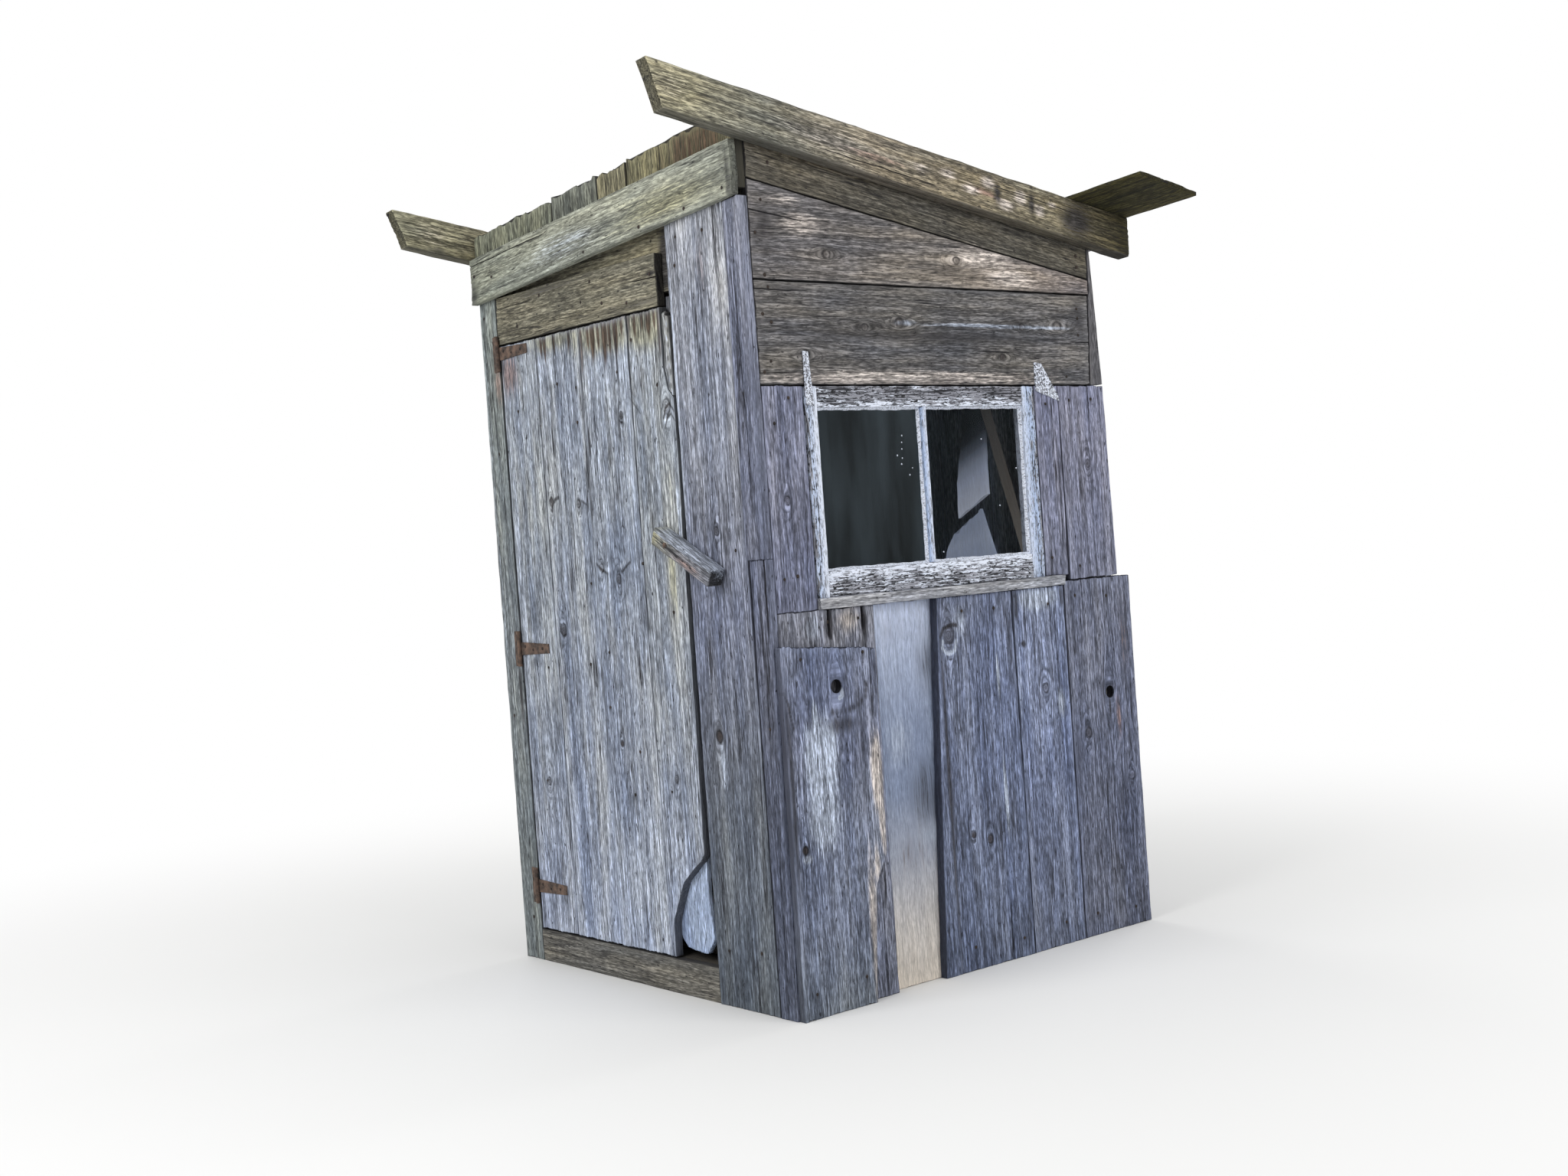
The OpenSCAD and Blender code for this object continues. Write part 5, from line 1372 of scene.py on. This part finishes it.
class OUTHOUSE_OT_lower_boards(bpy.types.Operator):
    """Adds the upright boards under the window, the patch board and the pale sheet behind them"""

    bl_idname = "outhouse.lower_boards"
    bl_label = "Lower boards"

    def execute(self, context):
        patch_hole = np.array([0.63, -0.432, 0.785])
        back_hole = on_side(591, 662)
        nails = side_nails(SIDE_NAILS)
        how = {"patches": SIDE_PATCHES, "nails": nails}
        splits = [(0.52, 0.92, 1.2, 0.007, 0.016), (0.88, 0.935, 1.2, 0.006, 0.016)]
        middle = boards_of("lower_middle_boards", (RIGHT, UP), follow="high", order=BACK)
        pieces = [
            wood_piece("worn_lower_front_board", boards_of("lower_front_board", (RIGHT, UP)), "lower", 41,
                       ["#6b7080 #757a8c #80838f"], cracks=splits, patches=LOWER_FRONT_PATCHES,
                       nails=nails),
            wood_piece("worn_patch_board", boards_of("patch_board", (RIGHT, UP), skip=patch_hole), "lower",
                       42, ["#69717d #727a8e #757e95 #747b92 #747c93"], hole=patch_hole, pith=(0.45, 0.05),
                       ragged=0.002, cup=0.003, seam=0.9, patches=PATCH_BOARD_PATCHES, nails=nails),
            wood_piece("worn_lower_middle_boards", middle, "lower", 43,
                       ["#60697f #6b7590 #6f7891", "#6c7489 #78829e #848ea9"], pith=(0.5, 0.07), many=1.4,
                       **how),
            wood_piece("worn_lower_back_board", boards_of("lower_back_board", (RIGHT, UP), skip=back_hole),
                       "lower", 44, ["#62687b #6a7084 #6f7486"], hole=back_hole, pith=(0.6, 0.05), **how),
        ]
        nail_heads("lower_nails", pieces, nails)
        wood_piece("lining", boards_of("lining_sheet", (RIGHT, UP)), "pale", 45,
                   ["#c9c1b6 #bbb8b6 #9ca2b0 #7e8aa2 #828ea7 #9ea9c0 #b9c3d9"], patches=LINING_PATCHES,
                   many=0, ripple=0.0015, step=(0.02, 0.02), pith=(0.5, 0.4))
        return {"FINISHED"}


def putty_bead(pane, seed):
    """Putty round one pane: a triangle between the glass and the sash, carried round the four sides
    with mitred corners, its width and height uneven where bits have dropped out."""
    width = bpy.context.scene.outhouse_boards.putty
    low, high = pane.min(axis=0), pane.max(axis=0)
    rng = np.random.default_rng(seed)
    corners = np.array([(low[1], low[2]), (high[1], low[2]), (high[1], high[2]), (low[1], high[2])])
    steps = 40
    part = np.tile(np.arange(steps) / steps, 4)[:, None]
    side = np.repeat(np.arange(4), steps)
    outer = corners[side] * (1 - part) + corners[(side + 1) % 4] * part
    inward = np.array([(1, 1), (-1, 1), (-1, -1), (1, -1)])
    toward = inward[side] * (1 - part) + inward[(side + 1) % 4] * part
    body = 0.9 + wave(np.arange(4 * steps) / steps, rng, (1.0, 0.41, 0.13), 0.14)
    size = (width * np.clip(body, 0.3, 1.1))[:, None]
    face = high[0]
    sunk = np.full(len(outer), face - SKIN + 0.0001)
    points = np.stack([
        np.column_stack([sunk, outer]),
        np.column_stack([face + 1.1 * size, outer]),
        np.column_stack([face + 0.7 * size, outer + 0.45 * size * toward]),
        np.column_stack([sunk, outer + size * toward]),
    ], axis=1)
    index = np.arange(len(outer) * 4).reshape(-1, 4)
    after = np.roll(index, -1, axis=0)
    quads = np.stack([index, after, np.roll(after, -1, axis=1), np.roll(index, -1, axis=1)], axis=-1)
    return {"points": points.reshape(-1, 3), "quads": quads.reshape(-1, 4)}


class OUTHOUSE_OT_window(bpy.types.Operator):
    """Adds the sash, its panes, the putty round them, its hangers and the strip under it"""

    bl_idname = "outhouse.window"
    bl_label = "Window"

    def execute(self, context):
        wood_piece("worn_sash", boards_of("window_sash", (RIGHT, BACK), (RIGHT, UP)), "paint", 51,
                   ["#a3a7b2"], wear=0.002, cup=0.0002, warp=0.0003, step=(0.02, 0.01), many=0.3,
                   patches=SASH_PATCHES)
        beads = [putty_bead(solid[0], 53 + k) for k, solid in enumerate(solids_of("window_panes"))]
        fit(fill_mesh("putty", beads, smooth=False), finish("putty"), "outhouse", "sash_white")
        wood_piece("worn_sill_strip", boards_of("window_sill", (RIGHT, BACK)), "side_grey", 52,
                   ["#94979f #9b9da2"], cup=0.0002, seam=0.6)
        finish_node("sash_hangers", finish("hanger"))
        finish_node("window_panes", finish("glass"))
        nail_heads("glass_specks", [frame["nodes"]["window_panes"]], side_nails(PAINT_DROPS),
                   key="putty", slot="sash_white", size=0.45)
        return {"FINISHED"}


class OUTHOUSE_OT_hinges(bpy.types.Operator):
    """Finishes the hinges and the nail of the turn button as rusted iron and adds the screws"""

    bl_idname = "outhouse.hinges"
    bl_label = "Hinges"

    def execute(self, context):
        for node in ("hinge_straps", "hinge_plates", "button_nail"):
            finish_node(node, finish("iron"))
        heights = [solid[0][:, 2].mean() * 1000 for solid in solids_of("hinge_straps")]
        for name, node, screws in (("strap_screws", "hinge_straps", STRAP_SCREWS),
                                   ("plate_screws", "hinge_plates", LEAF_SCREWS)):
            spots = [(x, z + height) for height in heights for x, z in screws]
            nail_heads(name, [frame["nodes"][node]], front_nails(spots), BODIES[node])
        return {"FINISHED"}


class OUTHOUSE_OT_turn_button(bpy.types.Operator):
    """Adds the worn block that holds the door shut"""

    bl_idname = "outhouse.turn_button"
    bl_label = "Turn button"

    def execute(self, context):
        slope = math.radians(BUTTON_TILT)
        tilt = unit(np.array([math.cos(slope), 0, -math.sin(slope)]))
        block = boards_of("turn_button", (FRONT, tilt))[0]
        front = block.corners[block.corners @ FRONT > block.top - SKIN]
        nail = on_front(*BUTTON_NAIL)
        nail[1] = front[0][1]
        front = front[np.linalg.norm(front - nail, axis=1) > 0.01]
        flat = np.column_stack([front @ block.along, front @ block.across])
        low, high = flat.min(axis=0), flat.max(axis=0)
        edges = [[(low[0], v), (high[0], v)] for v in (low[1], high[1])]
        block = block.with_edges(*edges)
        over = block.corners.mean(axis=0) + BUTTON_HALF * block.across * np.sign(block.across[2])
        # The pale patch over the top and the pale line along the upper front edge are a painted highlight on
        # the top of the button
        patches = [
            (PALE, over + 0.01 * tilt, 0.18, 0.008, 2.0),
            (PALE, over - 0.01 * UP, 0.14, 0.002, 1.2),
            (RUST, over + 0.07 * tilt - 0.038 * UP, 0.06, 0.011, 0.55),
            (DARK, over + 0.02 * tilt - 0.03 * UP, 0.05, 0.003, 1.2),
            (DARK, over + 0.01 * UP, 0.16, 0.003, 1.0),
            (GREEN, over - 0.09 * tilt - 0.02 * UP, 0.04, 0.03, 0.9),
        ]
        wood_piece("worn_turn_button", [block], "button", 61, ["#7b7c73 #74757a #686a71"], wear=0.004,
                   cup=0.0004, step=(0.008, 0.006), many=3.5, patches=patches, seam=0.6, ends=0.22)
        return {"FINISHED"}


class OUTHOUSE_OT_timbers(bpy.types.Operator):
    """Adds the sills, posts, girts, studs, plates, rafters and floor boards of the frame"""

    bl_idname = "outhouse.timbers"
    bl_label = "Timbers"

    def execute(self, context):
        coarse = {"step": (0.06, 0.03), "many": 0.5, "wear": 0.003}
        for seed, node, *ways in (
                (71, "corner_posts", (RIGHT, UP)), (72, "door_jamb_post", (FRONT, UP)),
                (73, "window_studs", (RIGHT, UP)), (75, "sill_beams", (FRONT, RIGHT), (RIGHT, BACK)),
                (76, "wall_girts", (FRONT, RIGHT), (RIGHT, BACK)),
                (78, "top_plates", (DOWN, RIGHT), (DOWN, BACK)),
                (79, "roof_rafters", (DOWN, RIGHT), (DOWN, BACK))):
            wood_piece("worn_" + node, boards_of(node, *ways), "frame", seed, ["#6f6a5e", "#746f63"],
                       **coarse)
        wood_piece("worn_floor_boards", boards_of("floor_boards", (UP, BACK))[0].split(7, 0.003), "frame",
                   81, ["#77705f", "#7d7766", "#706a5a"], scatter=1.5, **coarse)
        return {"FINISHED"}


class OUTHOUSE_OT_plain_walls(bpy.types.Operator):
    """Adds the boards of the left wall and the back wall, which the photograph does not show"""

    bl_idname = "outhouse.plain_walls"
    bl_label = "Plain walls"

    def execute(self, context):
        shades = ["#6a6f7b #787d88", "#71767f #7e838c", "#656a76 #747984", "#6f7480 #7a7f8b"]
        for seed, side, outward, ends, top in (
                (85, "left", LEFT, (-0.585, 0.585), 1.62), (86, "back", BACK, (-0.61, 0.572), 1.55)):
            nails = wall_nails(6, ends, (0.07, 0.93, top), outward)
            boards = boards_of(side + "_wall", (outward, UP), rim=RIM)[0].split(6, 0.003)
            wall = wood_piece(f"worn_{side}_wall", boards, "wall", seed, shades, scatter=PLAIN_KNOTS,
                              nails=nails)
            nail_heads(side + "_nails", [wall], nails)
        return {"FINISHED"}


class OUTHOUSE_OT_roof(bpy.types.Operator):
    """Adds the deck boards, the two rakes and the loose plank across the back"""

    bl_idname = "outhouse.roof"
    bl_label = "Roof"

    def execute(self, context):
        for seed, node, outward, shades in (
                # The right rake's shades are lighter at its front end and at two fifths of its length:
                # painted sunlight
                (91, "rake_right", RIGHT, "#908d7a #76756a #8b8374 #787161 #7f7864 #28250f"),
                (92, "rake_left", LEFT, "#84826e #726e5c #6c6655 #676151 #625e4e #4a4530")):
            rake = boards_of(node, (outward, BACK), follow="low")[0]
            patches = []
            for kind, along, across, half_along, half_across, strength in RAKE_PATCHES:
                u = rake.low[0][0] + along * rake.length()
                across = across if rake.across[2] > 0 else 1 - across
                v = np.interp(u, *rake.low.T) + across * rake.width(u)
                patches.append((kind, rake.place(u, v, 0), half_along / 1000, half_across / 1000, strength))
            wood_piece("worn_" + node, [rake], "rake", seed, [shades], wear=0.004, many=1.2, ends=0.3,
                       patches=patches, seam=0.6)
        wood_piece("worn_deck", boards_of("roof_deck", (UP, BACK), rim=RIM)[0].split(6, 0.0015), "deck", 94,
                   ["#6f7078", "#777880", "#696a72"], scatter=PLAIN_KNOTS, cup=0.0008)
        # The eave plank's near-black shades are painted shade, as its underside lies in shadow
        wood_piece("worn_eave_plank", boards_of("eave_plank", (UP, RIGHT), follow="low"), "rake", 95,
                   ["#35321a #3a3720"], wear=0.003, scatter=PLAIN_KNOTS, seam=0.6)
        return {"FINISHED"}


class OUTHOUSE_OT_inside(bpy.types.Operator):
    """Adds the torn pale sheets on the back wall and the slanting lath, which show through the panes"""

    bl_idname = "outhouse.inside"
    bl_label = "Inside"

    def execute(self, context):
        # The sheets run from near white at the foot to near black above, and the lath from pale to black:
        # painted light and painted shade inside the dark hut
        shades = ["#bccbea #c6d4f0 #b0bedb",
                  "#dfe9ff #d6e1fa #c4d1ed #a3aec6 #646c7b #2c2f36 #141518" + 8 * " #111214"]
        wood_piece("torn_sheets", boards_of("inner_sheets", (FRONT, UP), order=UP), "inside", 97, shades,
                   many=0, ripple=0.002, wear=0.001, ragged=0.004, step=(0.02, 0.012), pith=(0.5, 0.4),
                   seam=0.5)
        wood_piece("worn_lath", boards_of("inner_lath", (FRONT, UP), follow="low"), "inside", 98,
                   ["#8b867f #77726c #5c5855 #2a2928 #1a1a1a"], seam=0.5)
        return {"FINISHED"}


STEPS = (
    OUTHOUSE_OT_stage, OUTHOUSE_OT_front_boards, OUTHOUSE_OT_door, OUTHOUSE_OT_side_boards,
    OUTHOUSE_OT_lower_boards, OUTHOUSE_OT_window, OUTHOUSE_OT_hinges, OUTHOUSE_OT_turn_button,
    OUTHOUSE_OT_timbers, OUTHOUSE_OT_plain_walls, OUTHOUSE_OT_roof, OUTHOUSE_OT_inside,
)


class OUTHOUSE_PT_panel(bpy.types.Panel):
    """Lists the steps and the settings in the 3D view's sidebar"""

    bl_idname = "OUTHOUSE_PT_panel"
    bl_label = "Outhouse"
    bl_space_type = "VIEW_3D"
    bl_region_type = "UI"
    bl_category = "Outhouse"

    def draw(self, context):
        scene = context.scene
        for group in (scene.outhouse_boards, scene.outhouse_finishes, scene.outhouse_stage):
            for key in group.__annotations__:
                self.layout.prop(group, key)
        for step in STEPS:
            self.layout.operator(step.bl_idname)


CLASSES = (BoardSettings, FinishSettings, StageSettings, *STEPS, OUTHOUSE_PT_panel)


def register():
    """Registers the classes and hangs the settings on the scene."""
    for one in CLASSES:
        bpy.utils.register_class(one)
    bpy.types.Scene.outhouse_boards = bpy.props.PointerProperty(type=BoardSettings)
    bpy.types.Scene.outhouse_finishes = bpy.props.PointerProperty(type=FinishSettings)
    bpy.types.Scene.outhouse_stage = bpy.props.PointerProperty(type=StageSettings)


def unregister():
    """Takes the settings and the classes away again."""
    del bpy.types.Scene.outhouse_boards
    del bpy.types.Scene.outhouse_finishes
    del bpy.types.Scene.outhouse_stage
    for one in reversed(CLASSES):
        bpy.utils.unregister_class(one)


def main():
    """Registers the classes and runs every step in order."""
    register()
    for step in STEPS:
        group, name = step.bl_idname.split(".")
        getattr(getattr(bpy.ops, group), name)()
    bpy.context.view_layer.update()


if __name__ == "__main__":
    main()
